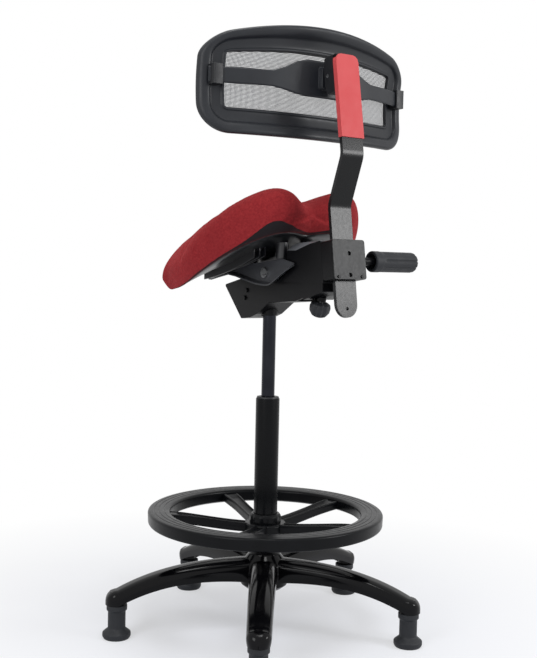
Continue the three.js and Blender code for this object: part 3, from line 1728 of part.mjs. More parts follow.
// A point of the rounded outline and its inward direction, by share of the way round.
function roundedPoint(share, halfWidth, halfHeight, corner) {
  const straightX = 2 * (halfWidth - corner);
  const straightY = 2 * (halfHeight - corner);
  const arc = (Math.PI / 2) * corner;
  const lengths = [straightX / 2, arc, straightY, arc, straightX, arc, straightY, arc, straightX / 2];
  let left = share * lengths.reduce((sum, one) => sum + one);
  let part = 0;
  while (part < lengths.length - 1 && left > lengths[part]) left -= lengths[part++];
  const a = halfWidth - corner;
  const b = halfHeight - corner;
  const centres = [
    [a, b],
    [a, -b],
    [-a, -b],
    [-a, b],
  ];
  if (part % 2) {
    const [x, z] = centres[(part - 1) / 2];
    const angle = Math.PI / 2 - ((part - 1) / 2) * (Math.PI / 2) - left / corner;
    const out = new THREE.Vector2(Math.cos(angle), Math.sin(angle));
    return { at: out.clone().multiplyScalar(corner).add(new THREE.Vector2(x, z)), out };
  }
  const sides = [
    [left, halfHeight, 0, 1],
    [halfWidth, b - left, 1, 0],
    [a - left, -halfHeight, 0, -1],
    [-halfWidth, left - b, -1, 0],
    [left - a, halfHeight, 0, 1],
  ];
  const [x, z, ox, oz] = sides[part / 2];
  return { at: new THREE.Vector2(x, z), out: new THREE.Vector2(ox, oz) };
}

// The ring's section: [share of the border inward, depth behind the mesh face].
const rimSection = () => {
  const { rimDepth, stepDepth, frontDepth } = back;
  return [
    [0.06, frontDepth],
    [0, rimDepth * 0.35],
    [0.03, rimDepth * 0.75],
    [0.12, rimDepth * 0.97],
    [0.26, rimDepth],
    [0.4, rimDepth * 0.9],
    [0.46, stepDepth * 1.5],
    [0.5, stepDepth * 1.12],
    [0.88, stepDepth],
    [0.93, stepDepth * 1.38],
    [1, stepDepth * 1.25],
    [1, frontDepth],
    [0.5, frontDepth],
  ];
};

function backrestFrame() {
  const section = rimSection();
  const rows = Array.from({ length: back.pathSteps }, (_, i) => {
    const { at, out } = roundedPoint(i / back.pathSteps, back.halfWidth, back.halfHeight, back.corner);
    return section.map(([share, depth]) => {
      const x = at.x - out.x * share * back.border;
      const up = at.y - out.y * share * back.border;
      return backPoint(x, up, depth);
    });
  });
  return skin(rows, true);
}

function clipBody(side) {
  const { clipX, clipHalfWidth, clipHalfHeight, clipWall, stepDepth } = back;
  const front = backFace(clipX, 0) + stepDepth - overrun;
  const rear = bracket.plateY - bandFall(clipX - clipHalfWidth) + clipWall;
  const shape = rectangle(clipX - clipHalfWidth, clipX + clipHalfWidth, front, rear, clipWall / 2);
  const body = prism(shape, bracketZ - clipHalfHeight, bracketZ + clipHalfHeight, "z");
  return side > 0 ? body : body.mirror([1, 0, 0]);
}

const frameRing = backrestFrame();
piece("backrest_frame", frameRing, mouldedBlack);
const frameSpace = frameRing.translate([0, seatGap, 0]);
const bandSpace = band(bracket.halfLength + seatGap, seatGap);
for (const [name, side] of [
  ["bracket_clip_left", 1],
  ["bracket_clip_right", -1],
]) {
  const clip = cut(clipBody(side), frameRing, frameSpace, bandSpace);
  const largest = clip.decompose().sort((a, b) => b.volume() - a.volume())[0];
  piece(name, largest, mouldedBlack);
}

// Mesh: a thin stretched sheet over the frame's front face
function meshPanel() {
  const half = 16;
  const turns = [];
  const inset = back.border * 0.3;
  const shares = [1, 0.7, 0.35, 0.02];
  const ringAt = (share, depth) =>
    Array.from({ length: half * 2 }, (_, i) => {
      const { at, out } = roundedPoint(i / (half * 2), back.halfWidth, back.halfHeight, back.corner);
      const x = (at.x - out.x * inset) * share;
      const up = (at.y - out.y * inset) * share;
      return backPoint(x, up, depth);
    });
  shares.forEach((share) => turns.push(ringAt(share, back.frontDepth - seatGap * 3 - back.meshThick)));
  shares.reverse().forEach((share) => turns.push(ringAt(share, back.frontDepth - seatGap * 3)));
  return skin([...turns], true);
}
piece("mesh_panel", meshPanel(), greyMesh);

export default stool;
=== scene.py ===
"""Perch stool: five-arm base, foot ring, gas lift, saddle seat and a mesh backrest on a bent flat bar.

Lengths are in millimetres from the column's axis and the floor, and become metres in the row frame when a
mesh is made. The sitter faces -Y. Shapes are grids of points worked out with numpy: a profile turned round
an axis, a section carried along a path, or a surface over two parameters.
"""

import json
import math

import bmesh
import bpy
import numpy as np
from mathutils import Matrix, Vector

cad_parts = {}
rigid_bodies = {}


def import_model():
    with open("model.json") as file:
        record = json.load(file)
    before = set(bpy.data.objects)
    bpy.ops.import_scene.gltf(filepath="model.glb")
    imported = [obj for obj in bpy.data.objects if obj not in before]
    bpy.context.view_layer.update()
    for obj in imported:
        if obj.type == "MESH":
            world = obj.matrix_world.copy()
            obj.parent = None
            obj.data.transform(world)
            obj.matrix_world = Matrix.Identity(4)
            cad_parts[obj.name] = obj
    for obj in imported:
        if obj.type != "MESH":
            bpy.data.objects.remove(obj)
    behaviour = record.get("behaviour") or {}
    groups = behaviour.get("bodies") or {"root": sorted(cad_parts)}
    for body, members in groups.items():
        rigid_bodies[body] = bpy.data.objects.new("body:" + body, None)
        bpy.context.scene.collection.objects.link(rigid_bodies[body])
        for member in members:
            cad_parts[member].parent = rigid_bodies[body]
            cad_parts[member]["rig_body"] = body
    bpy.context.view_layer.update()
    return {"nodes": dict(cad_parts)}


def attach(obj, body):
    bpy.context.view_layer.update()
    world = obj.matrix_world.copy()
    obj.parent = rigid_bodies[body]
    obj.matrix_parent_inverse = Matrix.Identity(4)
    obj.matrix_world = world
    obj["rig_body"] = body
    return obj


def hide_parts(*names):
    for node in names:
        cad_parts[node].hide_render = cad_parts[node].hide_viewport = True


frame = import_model()
nodes = frame["nodes"]

MM = 0.001
COLUMN_BACK = 29.850643779195707  # the column's axis stands this far behind the middle of the footprint

# Camera, as the photograph's: place, line of sight, roll to the right and lens

CAMERA_AT = (1.25666, 1.84132, 0.75939)
CAMERA_ALONG = (-0.56846, -0.82074, -0.05685)
CAMERA_ROLL = math.radians(1.223)
CAMERA_LENS = 57.57
SENSOR = 36.0


def add_camera():
    along = Vector(CAMERA_ALONG).normalized()
    level = along.cross(Vector((0, 0, 1))).normalized()
    upright = level.cross(along)
    right = level * math.cos(CAMERA_ROLL) + upright * math.sin(CAMERA_ROLL)
    up = upright * math.cos(CAMERA_ROLL) - level * math.sin(CAMERA_ROLL)
    data = bpy.data.cameras.new("camera")
    data.lens = CAMERA_LENS
    data.sensor_width = SENSOR
    data.sensor_fit = "AUTO"
    data.clip_end = 100
    camera = bpy.data.objects.new("camera", data)
    turned = Matrix((right, up, -along)).transposed()
    camera.matrix_world = Matrix.Translation(CAMERA_AT) @ turned.to_4x4()
    bpy.context.scene.collection.objects.link(camera)
    bpy.context.scene.camera = camera


add_camera()

# Lines and surfaces


def eased(points, steps, closed=False):
    """Points on a Catmull-Rom curve: each stretch is the cubic through its two ends whose slope there is half
    the step between the neighbours on either side."""
    p = np.asarray(points, float)
    if closed:
        around = np.concatenate([p[-1:], p, p[:2]])
    else:
        around = np.concatenate([2 * p[:1] - p[1:2], p, 2 * p[-1:] - p[-2:-1]])
    spans = len(around) - 3
    a, b, c, d = (around[k : k + spans, None, :] for k in range(4))
    t = (np.arange(steps) / steps)[None, :, None]
    line = 0.5 * (2 * b + (c - a) * t + (2 * a - 5 * b + 4 * c - d) * t**2 + (3 * b - a - 3 * c + d) * t**3)
    line = line.reshape(-1, p.shape[1])
    return line if closed else np.concatenate([line, p[-1:]])


def rounded(corners, steps=4, closed=True):
    """A line through corners (a, b, radius): a corner with a radius becomes the parabola that touches both of
    its sides at the reach of that radius."""
    c = np.asarray([(*q, 0.0)[:3] for q in corners], float)
    out = []
    t = np.linspace(0, 1, steps + 1)[:, None]
    for i, (a, b, radius) in enumerate(c):
        end = not closed and i in (0, len(c) - 1)
        here = np.array([a, b])
        if not radius or end:
            out.append(here[None, :])
            continue
        back = c[i - 1, :2] - here
        on = c[(i + 1) % len(c), :2] - here
        back_long, on_long = np.hypot(*back), np.hypot(*on)
        half = math.acos(np.clip(back @ on / back_long / on_long, -1, 1)) / 2
        reach = min(radius / math.tan(half), back_long * 0.49, on_long * 0.49)
        start = here + back / back_long * reach
        stop = here + on / on_long * reach
        out.append((1 - t) ** 2 * start + 2 * t * (1 - t) * here + t**2 * stop)
    return np.concatenate(out)


def turned(profile, steps=72):
    """A profile of (radius, height) turned round the Z axis: point = (r cos a, r sin a, z)."""
    p = np.asarray(profile, float)
    a = np.arange(steps) * 2 * np.pi / steps
    r, z = p[:, :1], p[:, 1:2]
    return np.stack([r * np.cos(a), r * np.sin(a), np.broadcast_to(z, (len(p), steps))], -1)


def spun(points, degrees):
    """Points turned round the Z axis."""
    a = math.radians(degrees)
    x, y, z = points[..., 0], points[..., 1], points[..., 2]
    return np.stack([x * math.cos(a) - y * math.sin(a), x * math.sin(a) + y * math.cos(a), z], -1)


def tipped(points, degrees):
    """Points turned round the X axis."""
    a = math.radians(degrees)
    x, y, z = points[..., 0], points[..., 1], points[..., 2]
    return np.stack([x, y * math.cos(a) - z * math.sin(a), y * math.sin(a) + z * math.cos(a)], -1)


def smooth(t):
    """Zero below 0, one above 1 and 3t2 - 2t3 between."""
    t = np.clip(t, 0, 1)
    return t * t * (3 - 2 * t)


def mix(a, b, t):
    return a + (b - a) * t


def grid_faces(rows, columns, rows_closed, columns_closed):
    """Corner numbers of the quads of a grid whose points are counted row by row."""
    i = np.arange(rows if rows_closed else rows - 1)[:, None]
    j = np.arange(columns if columns_closed else columns - 1)[None, :]
    i2, j2 = (i + 1) % rows, (j + 1) % columns
    return np.stack(
        [i * columns + j, i2 * columns + j, i2 * columns + j2, i * columns + j2], -1
    ).reshape(-1, 4)


class Shell:
    """One grid of points with its faces. A capped shell has its first and last rows filled in."""

    def __init__(self, points, ring=False, columns_closed=True, capped=False, sheet=False):
        p = np.asarray(points, float)
        rows, columns = p.shape[:2]
        faces = grid_faces(rows, columns, ring, columns_closed)
        self.points = p.reshape(-1, 3)
        self.faces = [tuple(f) for f in faces]
        tris = np.concatenate([faces[:, [0, 1, 2]], faces[:, [0, 2, 3]]])
        if capped:
            first, last = np.arange(columns), np.arange(columns) + (rows - 1) * columns
            hubs = np.stack([self.points[first].mean(0), self.points[last].mean(0)])
            count = len(self.points)
            self.points = np.concatenate([self.points, hubs])
            near = np.stack([np.full(columns, count), first, np.roll(first, -1)], -1)
            far = np.stack([np.full(columns, count + 1), np.roll(last, -1), last], -1)
            self.faces += [tuple(f) for f in np.concatenate([near, far])]
            tris = np.concatenate([tris, near, far])
        a, b, c = (self.points[tris[:, k]] for k in range(3))
        if not sheet and np.einsum("ij,ij->i", a, np.cross(b, c)).sum() < 0:
            self.faces = [f[::-1] for f in self.faces]


def make_piece(name, shells, body, finish, replaces=(), sharp=32, place=lambda p: p):
    """A mesh piece of one or more shells: place() puts the points, in millimetres, where they belong."""
    points, faces, start = [], [], 0
    for shell in shells:
        moved = place(shell.points) + np.array([0, COLUMN_BACK, 0])
        points.append(moved * MM)
        faces += [tuple(int(k) + start for k in f) for f in shell.faces]
        start += len(shell.points)
    mesh = bpy.data.meshes.new(name)
    mesh.from_pydata(np.concatenate(points).tolist(), [], faces)
    weld(mesh)
    return add_piece(name, mesh, body, finish, replaces, sharp)


def weld(mesh, distance=1e-6):
    """Merges the points that lie on each other, so that poles and seams are closed."""
    bm = bmesh.new()
    bm.from_mesh(mesh)
    bmesh.ops.remove_doubles(bm, verts=bm.verts, dist=distance)
    bmesh.ops.dissolve_degenerate(bm, edges=bm.edges, dist=distance)
    bm.to_mesh(mesh)
    bm.free()


def add_piece(name, mesh, body, finish, replaces=(), sharp=32):
    mesh.shade_smooth()
    mesh.set_sharp_from_angle(angle=math.radians(sharp))
    piece = bpy.data.objects.new(name, mesh)
    bpy.context.scene.collection.objects.link(piece)
    if body:
        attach(piece, body)
    wear(piece, finish)
    if replaces:
        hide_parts(*replaces)
    return piece


def wear(piece, finish):
    slot, material = finish
    piece.data.materials.clear()
    piece.data.materials.append(material)


def refined(node, finish, bevel=0.7, sharp=32, segments=2):
    """A copy of a CAD node with its flat faces merged and its edges rounded, in the node's place."""
    source = nodes[node]
    mesh = source.data.copy()
    mesh.name = node + "_finished"
    bm = bmesh.new()
    bm.from_mesh(mesh)
    bmesh.ops.remove_doubles(bm, verts=bm.verts, dist=2e-5)
    bmesh.ops.dissolve_degenerate(bm, edges=bm.edges, dist=1e-5)
    bmesh.ops.dissolve_limit(bm, angle_limit=math.radians(0.8), verts=bm.verts, edges=bm.edges)
    for edge in bm.edges:
        edge.smooth = True
    bm.to_mesh(mesh)
    bm.free()
    piece = add_piece(node + "_finished", mesh, source["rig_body"], finish, [node], sharp)
    rounding = piece.modifiers.new("edges", "BEVEL")
    rounding.width = bevel * MM
    rounding.segments = segments
    rounding.limit_method = "ANGLE"
    rounding.angle_limit = math.radians(sharp)
    rounding.harden_normals = True
    rounding.use_clamp_overlap = True
    return piece


# Finishes


class Nodes:
    """A material's node tree, with short calls for the nodes that the finishes share."""

    def __init__(self, name):
        self.material = bpy.data.materials.new(name)
        self.material.use_nodes = True
        self.tree = self.material.node_tree
        self.shader = self.tree.nodes["Principled BSDF"]
        own = self.add("ShaderNodeTexCoord")
        self.place, self.facing = own.outputs["Object"], own.outputs["Normal"]

    def add(self, kind, **inputs):
        node = self.tree.nodes.new(kind)
        for key, value in inputs.items():
            self.feed(node.inputs[key.replace("_", " ")], value)
        return node

    def feed(self, socket, value):
        if isinstance(value, bpy.types.NodeSocket):
            self.tree.links.new(value, socket)
        else:
            socket.default_value = value

    def noise(self, scale, detail=2.0, rough=0.5, stretch=None):
        vector = self.place
        if stretch:
            vector = self.add("ShaderNodeMapping", Vector=vector, Scale=stretch).outputs[0]
        node = self.add("ShaderNodeTexNoise", Vector=vector, Scale=scale, Detail=detail, Roughness=rough)
        return node.outputs["Fac"]

    def spread(self, value, low, high, start=0.3, stop=0.7):
        node = self.add("ShaderNodeMapRange")
        for key, number in zip(("From Min", "From Max", "To Min", "To Max"), (start, stop, low, high)):
            node.inputs[key].default_value = number
        self.feed(node.inputs["Value"], value)
        return node.outputs["Result"]

    def blend(self, amount, first, second, mode="MIX"):
        node = self.add("ShaderNodeMix")
        node.data_type = "RGBA"
        node.blend_type = mode
        for key, value in ((0, amount), (6, first), (7, second)):
            if isinstance(value, (tuple, list)):
                value = (*value, 1.0)[:4]
            self.feed(node.inputs[key], value)
        return node.outputs[2]

    def math(self, operation, *values):
        node = self.add("ShaderNodeMath")
        node.operation = operation
        for socket, value in zip(node.inputs, values):
            self.feed(socket, value)
        return node.outputs[0]

    def bump(self, height, distance, strength=1.0, after=None):
        node = self.add("ShaderNodeBump", Height=height, Strength=strength, Distance=distance)
        if after is not None:
            self.feed(node.inputs["Normal"], after)
        return node.outputs["Normal"]

    def set(self, **inputs):
        for key, value in inputs.items():
            self.feed(self.shader.inputs[key.replace("_", " ")], value)
        return self.material


def plain(rgb):
    """An sRGB colour of 0 to 255 as linear light."""
    c = np.asarray(rgb, float) / 255
    return tuple(np.where(c <= 0.04045, c / 12.92, ((c + 0.055) / 1.055) ** 2.4))


def paint(name, colour, dust, rough, shine, orange_peel, coat=0.0, painted_top_highlight=None):
    """Gloss or satin paint: faint orange peel, patches that are a little duller, and a share of dust. A painted
    highlight colour, when given, lies on the faces that look up, in place of the light from above that they catch."""
    n = Nodes(name)
    patches = n.noise(9.0, 3.0)
    fine = n.noise(160.0, 3.0, 0.6)
    colour_mixed = n.blend(n.spread(patches, 0.0, 0.35), colour, dust)
    # Painted highlight: faces that look up are blended towards the lighter colour given last, standing in for light
    # from above.
    if painted_top_highlight:
        facing = n.add("ShaderNodeSeparateXYZ", Vector=n.facing).outputs[2]
        colour_mixed = n.blend(n.spread(facing, 0.0, 1.0, 0.25, 0.6), colour_mixed, painted_top_highlight)
    peel = n.noise(260.0, 1.0)
    return n.set(
        Base_Color=colour_mixed,
        Roughness=n.spread(fine, rough * 0.92, rough * 1.1),
        Normal=n.bump(peel, 0.01 * MM * orange_peel, 0.4),
        Specular_IOR_Level=shine,
        Coat_Weight=coat,
        Coat_Roughness=rough * 0.5,
    )


def moulded(name, colour, light, rough, grain, depth=0.06, shine=0.35):
    """Moulded plastic or rubber: a fine pebble grain, and faint flow marks that change the gloss."""
    n = Nodes(name)
    flow = n.noise(14.0, 2.0, 0.5, (1.0, 1.0, 0.35))
    cells = n.add("ShaderNodeTexVoronoi", Vector=n.place, Scale=grain)
    return n.set(
        Base_Color=n.blend(n.spread(flow, 0.0, 0.6), colour, light),
        Roughness=n.spread(n.noise(60.0, 2.0), rough * 0.9, rough * 1.12),
        Normal=n.bump(cells.outputs["Distance"], depth * MM, 0.35),
        Specular_IOR_Level=shine,
    )


def steel(name, colour, dark, rough, brushed):
    """Plated or ground steel: short scratches along one direction, and patches of duller plating."""
    n = Nodes(name)
    scratches = n.noise(260.0, 2.0, 0.6, brushed)
    patches = n.noise(30.0, 3.0)
    return n.set(
        Base_Color=n.blend(n.spread(patches, 0.0, 0.5), colour, dark),
        Roughness=n.spread(scratches, rough * 0.8, rough * 1.3),
        Normal=n.bump(scratches, 0.02 * MM, 0.3),
        Metallic=1.0,
    )


def woven(name, colour, shade, light, lining, pitch, depth):
    """Upholstery cloth: threads that cross over and under, each a rounded ridge, with slubs and a soft sheen.
    Where the mesh's lining attribute is 1, the cloth is the dark lining of the underside."""
    n = Nodes(name)
    pattern = n.add("ShaderNodeUVMap").outputs["UV"]
    split = n.add("ShaderNodeSeparateXYZ", Vector=pattern)
    across, along = (n.math("MULTIPLY", split.outputs[k], math.pi / pitch) for k in (0, 1))
    over = n.math("MULTIPLY", n.math("SINE", across), n.math("SINE", along))
    ridge = n.math("ADD", n.math("ABSOLUTE", over), n.math("MULTIPLY", n.noise(900.0, 2.0), 0.35))
    slubs = n.noise(230.0, 3.0, 0.6)
    patches = n.noise(16.0, 2.0)
    cloth = n.blend(n.spread(ridge, 0.0, 0.55, 0.0, 0.9), shade, colour)
    cloth = n.blend(n.spread(slubs, 0.0, 0.35, 0.35, 0.75), cloth, light)
    cloth = n.blend(n.spread(patches, 0.0, 0.25), cloth, shade)
    lined = n.add("ShaderNodeAttribute")
    lined.attribute_name = "lining"
    cloth = n.blend(n.spread(lined.outputs["Fac"], 0.0, 1.0, 0.4, 0.6), cloth, lining)
    return n.set(
        Base_Color=cloth,
        Roughness=0.92,
        Normal=n.bump(ridge, depth, 0.55),
        Specular_IOR_Level=0.25,
        Sheen_Weight=0.35,
        Sheen_Roughness=0.45,
        Sheen_Tint=(*light, 1.0),
    )


def netted(name, thread, light, pitch, open_share):
    """Stretched mesh: two crossed sets of threads with an open hole between them."""
    n = Nodes(name)
    pattern = n.add("ShaderNodeUVMap").outputs["UV"]
    split = n.add("ShaderNodeSeparateXYZ", Vector=pattern)
    across, along = (n.math("MULTIPLY", split.outputs[k], 2 * math.pi / pitch) for k in (0, 1))
    net = n.math("ADD", n.math("COSINE", across), n.math("COSINE", along))
    hole = n.spread(net, 1.0, 0.0, open_share - 0.12, open_share + 0.12)
    strand = n.noise(700.0, 2.0)
    shade = n.blend(n.spread(strand, 0.0, 0.8), thread, light)
    return n.set(
        Base_Color=shade,
        Roughness=0.75,
        Alpha=hole,
        Normal=n.bump(n.math("MULTIPLY", net, -1.0), 0.1 * MM, 0.4),
        Sheen_Weight=0.2,
        Sheen_Tint=(*light, 1.0),
    )


CAST = ("cast_black", paint("cast_black_gloss", plain((6, 6, 8)), plain((12, 12, 15)), 0.15, 0.16, 0.5))
TUBE = ("steel_black", paint("tube_satin_black", plain((7, 8, 10)), plain((13, 14, 17)), 0.26, 0.12, 0.6))
PRESSED = ("steel_black", paint("pressed_satin_black", plain((9, 9, 11)), plain((18, 18, 21)), 0.36, 0.12, 0.4))
# The arm's light grey on its faces that look up is a painted highlight, for the sheen its shoulders catch from above.
ARM = (
    "steel_black",
    paint("arm_satin_black", plain((9, 9, 11)), plain((18, 18, 21)), 0.38, 0.12, 0.8, painted_top_highlight=plain((104, 106, 110))),
)
# A grey copy of the black pressed steel: its lightness is a painted sheen, for the light that the seat frame's lip
# catches from above.
PRESSED_PAINTED_SHEEN = ("steel_black", paint("seat_frame_painted_sheen_grey", plain((58, 59, 62)), plain((74, 75, 78)), 0.3, 0.5, 0.3))
BAR = ("steel_black", paint("bar_gloss_black", plain((12, 13, 15)), plain((18, 19, 22)), 0.27, 0.22, 0.08))
PLATE = ("steel_black", paint("plate_satin_black", plain((12, 13, 15)), plain((20, 21, 24)), 0.34, 0.16, 0.7))
CYLINDER = (
    "chrome_black",
    steel("nitrided_cylinder", plain((44, 45, 50)), plain((30, 31, 36)), 0.22, (1.0, 1.0, 0.04)),
)
BRIGHT = (
    "steel_bright",
    steel("zinc_steel", plain((176, 178, 180)), plain((132, 134, 138)), 0.3, (1.0, 0.2, 1.0)),
)
MOULDED = ("moulded_black", moulded("moulded_black", plain((20, 21, 24)), plain((30, 31, 35)), 0.46, 900.0, 0.03))
FRAME = ("moulded_black", moulded("frame_black", plain((24, 26, 31)), plain((34, 37, 42)), 0.44, 1100.0, 0.02))
RING = ("moulded_black", moulded("ring_black", plain((9, 10, 12)), plain((18, 19, 22)), 0.3, 700.0, 0.02, 0.12))
PAN = ("moulded_black", moulded("pan_black", plain((18, 19, 22)), plain((28, 29, 33)), 0.32, 500.0, 0.03, 0.6))
RUBBER = ("rubber_black", moulded("rubber_black", plain((27, 29, 33)), plain((38, 40, 44)), 0.58, 600.0, 0.06))
CLOTH = (
    "fabric_red",
    woven("red_cloth", plain((168, 40, 44)), plain((112, 24, 30)), plain((196, 64, 64)), plain((22, 22, 25)), 1.1 * MM, 0.25 * MM),
)
VINYL = ("vinyl_red", moulded("light_red_cover", plain((194, 68, 70)), plain((204, 82, 84)), 0.55, 500.0, 0.05))
NET = ("mesh_grey", netted("grey_net", plain((58, 60, 64)), plain((88, 90, 95)), 2.4 * MM, 0.32))
BRASS = ("brass", steel("plain_brass", plain((176, 148, 92)), plain((140, 116, 70)), 0.35, (1.0, 1.0, 1.0)))

# Base

STAR = {"arms": 5, "first": 270, "circle": 312.6, "root_top": 151, "end_top": 100, "root_deep": 52, "end_deep": 30}
STAR |= {"root_wide": 60, "end_wide": 47, "arch": 3.0, "thinning": 2.05, "wall": 4.5, "nose": 0.75, "root": 28}
ARM_SECTION = [(-0.94, 1.0), (-1.0, 0.72), (-1.0, 0.45), (-0.84, 0.16), (-0.45, 0.02), (0.0, 0.0)]


def star_arm():
    """The rounded back of an arm is a section carried outwards while it narrows and thins; its hollow is the
    same section, smaller by the wall, and both end in a half round over the glide."""
    s = STAR
    half_line = eased(ARM_SECTION, 5)
    section = np.concatenate([half_line, half_line[-2::-1] * [-1, 1]])
    r = np.linspace(s["root"], s["circle"], 32)
    part = r / s["circle"]
    top = s["root_top"] - (s["root_top"] - s["end_top"]) * part ** s["arch"]
    deep = s["end_deep"] + (s["root_deep"] - s["end_deep"]) * (1 - part) ** s["thinning"]
    half = mix(s["root_wide"], s["end_wide"], part) / 2
    nose = np.radians(np.linspace(8, 89, 9))
    end = s["end_wide"] / 2
    drop = s["end_deep"] * s["nose"] * (1 - np.cos(nose))
    rows = {}
    for key, shrink in (("outer", 0.0), ("inner", s["wall"])):
        radius = np.concatenate([r, s["circle"] + (end - shrink) * np.sin(nose)])
        wide = np.concatenate([half - shrink, (end - shrink) * np.cos(nose)])
        high = np.concatenate([top, s["end_top"] - drop]) - shrink
        tall = np.concatenate([deep, s["end_deep"] - drop]) - shrink
        side, down = section[:, 0][None, :], section[:, 1][None, :]
        rows[key] = np.stack(
            [np.broadcast_to(radius[:, None], (len(radius), len(section))), side * wide[:, None], high[:, None] - down * tall[:, None]],
            -1,
        )
    loop = np.concatenate([rows["outer"], rows["inner"][:, ::-1]], 1)
    return loop


def star_base():
    arm = star_arm()
    hub = rounded(
        [(25.3, 85), (38, 85, 2), (49.5, 94, 4), (52, 123, 8), (49.5, 139, 8), (41, 150, 8), (33, 159, 8), (30, 168, 6), (30, 199, 1.5), (25.3, 199)],
        5,
    )
    boss = rounded([(7, 69.9), (15, 69.9, 1), (15, 97), (7, 97)], 3)
    shells = [Shell(turned(hub, 96), ring=True)]
    for i in range(STAR["arms"]):
        angle = STAR["first"] + 360 / STAR["arms"] * i
        shells.append(Shell(spun(arm, angle), capped=True))
        away = np.array([STAR["circle"], 0, 0])
        shells.append(Shell(spun(turned(boss, 32) + away, angle), ring=True))
    make_piece("star_base_cast", shells, "base", CAST, ["star_base"])


star_base()

GLIDE = [(0, 0), (26, 0, 2), (29, 5, 4), (29, 12, 4), (23, 17, 4), (18, 21, 5), (18, 56, 2), (21, 59, 2), (21, 69.6, 1.5), (5.8, 69.6), (5.8, 60), (0, 60)]


def glides():
    profile = rounded(GLIDE, 4, closed=False)
    for i in range(STAR["arms"]):
        angle = STAR["first"] + 360 / STAR["arms"] * i
        foot = spun(turned(profile, 48) + np.array([STAR["circle"], 0, 0]), angle)
        make_piece(f"glide_{i + 1}_foot", [Shell(foot)], "base", RUBBER, [f"glide_{i + 1}"])


glides()

# Column


def column():
    tube = rounded([(5.4, 88), (25, 88, 1), (25, 488, 0.8), (22.5, 488, 0.6), (22.5, 92), (5.4, 92)], 3)
    make_piece("column_tube_painted", [Shell(turned(tube, 72), ring=True)], "base", TUBE, ["column_tube"])
    bush = rounded([(14.4, 428), (22.2, 428), (22.2, 488.3), (24, 488.3, 0.4), (22.7, 492, 0.6), (14.4, 492, 0.5)], 3)
    make_piece("guide_bush_moulded", [Shell(turned(bush, 72), ring=True)], "base", MOULDED, ["guide_bush"])
    spring = rounded(
        [(5.4, 300), (14, 300, 0.8), (14, 662, 6), (13, 700, 0.5), (3.4, 700), (3.4, 684), (11.5, 684), (11.5, 314), (5.4, 314)], 3
    )
    make_piece("gas_cylinder_turned", [Shell(turned(spring, 64), ring=True)], "lift", CYLINDER, ["gas_cylinder"])


column()

# Foot ring

RING_TOP, RING_DEEP, RING_IN, RING_OUT, RING_ROUND = 251.6, 28, 201, 248, 11
SPOKES, FIRST_SPOKE = 5, 259.25


def ring_rim():
    """The rim's section turned round the column: a flat tread with three fine grooves."""
    low = RING_TOP - RING_DEEP
    tread = np.linspace(RING_IN + RING_ROUND, RING_OUT - RING_ROUND, 61)
    groove = sum(np.exp(-(((tread - g) / 0.9) ** 2)) for g in (214.5, 224.5, 234.5))
    corners = [(RING_IN, low + 3.5, 1.2), (RING_IN, RING_TOP - 2, 7), (tread[0], RING_TOP)]
    inner = rounded(corners, 8, closed=False)
    top = np.stack([tread, RING_TOP - 0.9 * groove], -1)
    outer = rounded(
        [(tread[-1], RING_TOP), (RING_OUT, RING_TOP - 1, 9), (RING_OUT - 1, low + 1, 8), (237, low, 1), (237, low + 14, 2), (207, low + 14, 2), (207, low, 1)],
        8,
        closed=False,
    )
    return np.concatenate([inner[:-1], top, outer[1:]])


def ring_spoke():
    """A dished spoke: its section rises and widens outwards into the rim."""
    t = np.linspace(0, 1, 22)
    r = mix(39, 204, t)
    half = mix(27, 35, smooth((t - 0.5) * 2)) / 2
    top = mix(225, RING_TOP - 6.6, smooth(t) * 0.5 + t * 0.5)
    dish = 5 * np.where(t > 0.9, 0.3, 1.0)
    side = np.array([-0.8, -0.97, -1.0, -0.93, -0.72, -0.5, 0.5, 0.72, 0.93, 1.0, 0.97, 0.8])
    up = np.array([-19, -10, -2.5, -0.6, 0, 0, 0, 0, -0.6, -2.5, -10, -19.0])
    dished = np.array([0, 0, 0, 0, 0, 1, 1, 0, 0, 0, 0, 0.0])
    line = np.stack(
        [
            np.broadcast_to(r[:, None], (22, 12)),
            half[:, None] * side,
            top[:, None] + up - dish[:, None] * dished,
        ],
        -1,
    )
    fine = eased(line.transpose(1, 0, 2).reshape(12, -1), 4, closed=True)
    return fine.reshape(48, 22, 3).transpose(1, 0, 2)


def foot_ring():
    hub = rounded([(28.3, 199.7), (40.5, 199.7, 1), (45, 205.4, 3), (45, 222, 2.5), (42, 225, 2.5), (28.3, 225)], 4)
    shells = [Shell(turned(ring_rim(), 160), ring=True), Shell(turned(hub, 80), ring=True)]
    spoke = ring_spoke()
    for i in range(SPOKES):
        shells.append(Shell(spun(spoke, FIRST_SPOKE + 360 / SPOKES * i), capped=True))
    make_piece("footring_moulded", shells, "foot_ring", RING, ["footring"], sharp=40)


foot_ring()


def lock_collar():
    """The collar's wall is pressed in by six finger grips: the radius dips by a cosine bump at each."""
    profile = rounded([(28.7, 225.3), (33, 225.3, 0.8), (33, 239, 2), (29.4, 244.3, 1.5), (25.7, 244.3), (25.7, 234.8), (28.7, 234.8)], 3)
    grid = turned(profile, 120)
    angle = np.arange(120) * 2 * np.pi / 120
    dip = 1.6 * np.clip(np.cos(angle * 6), 0, 1) ** 2
    radius = np.hypot(grid[..., 0], grid[..., 1])
    outer = (radius > 31) & (grid[..., 2] < 240)
    grid[..., :2] *= (1 - np.where(outer, dip[None, :] / np.maximum(radius, 1), 0))[..., None]
    make_piece("footring_lock_collar_moulded", [Shell(grid, ring=True)], "lock_collar", RING, ["footring_lock_collar"])


lock_collar()

# Seat

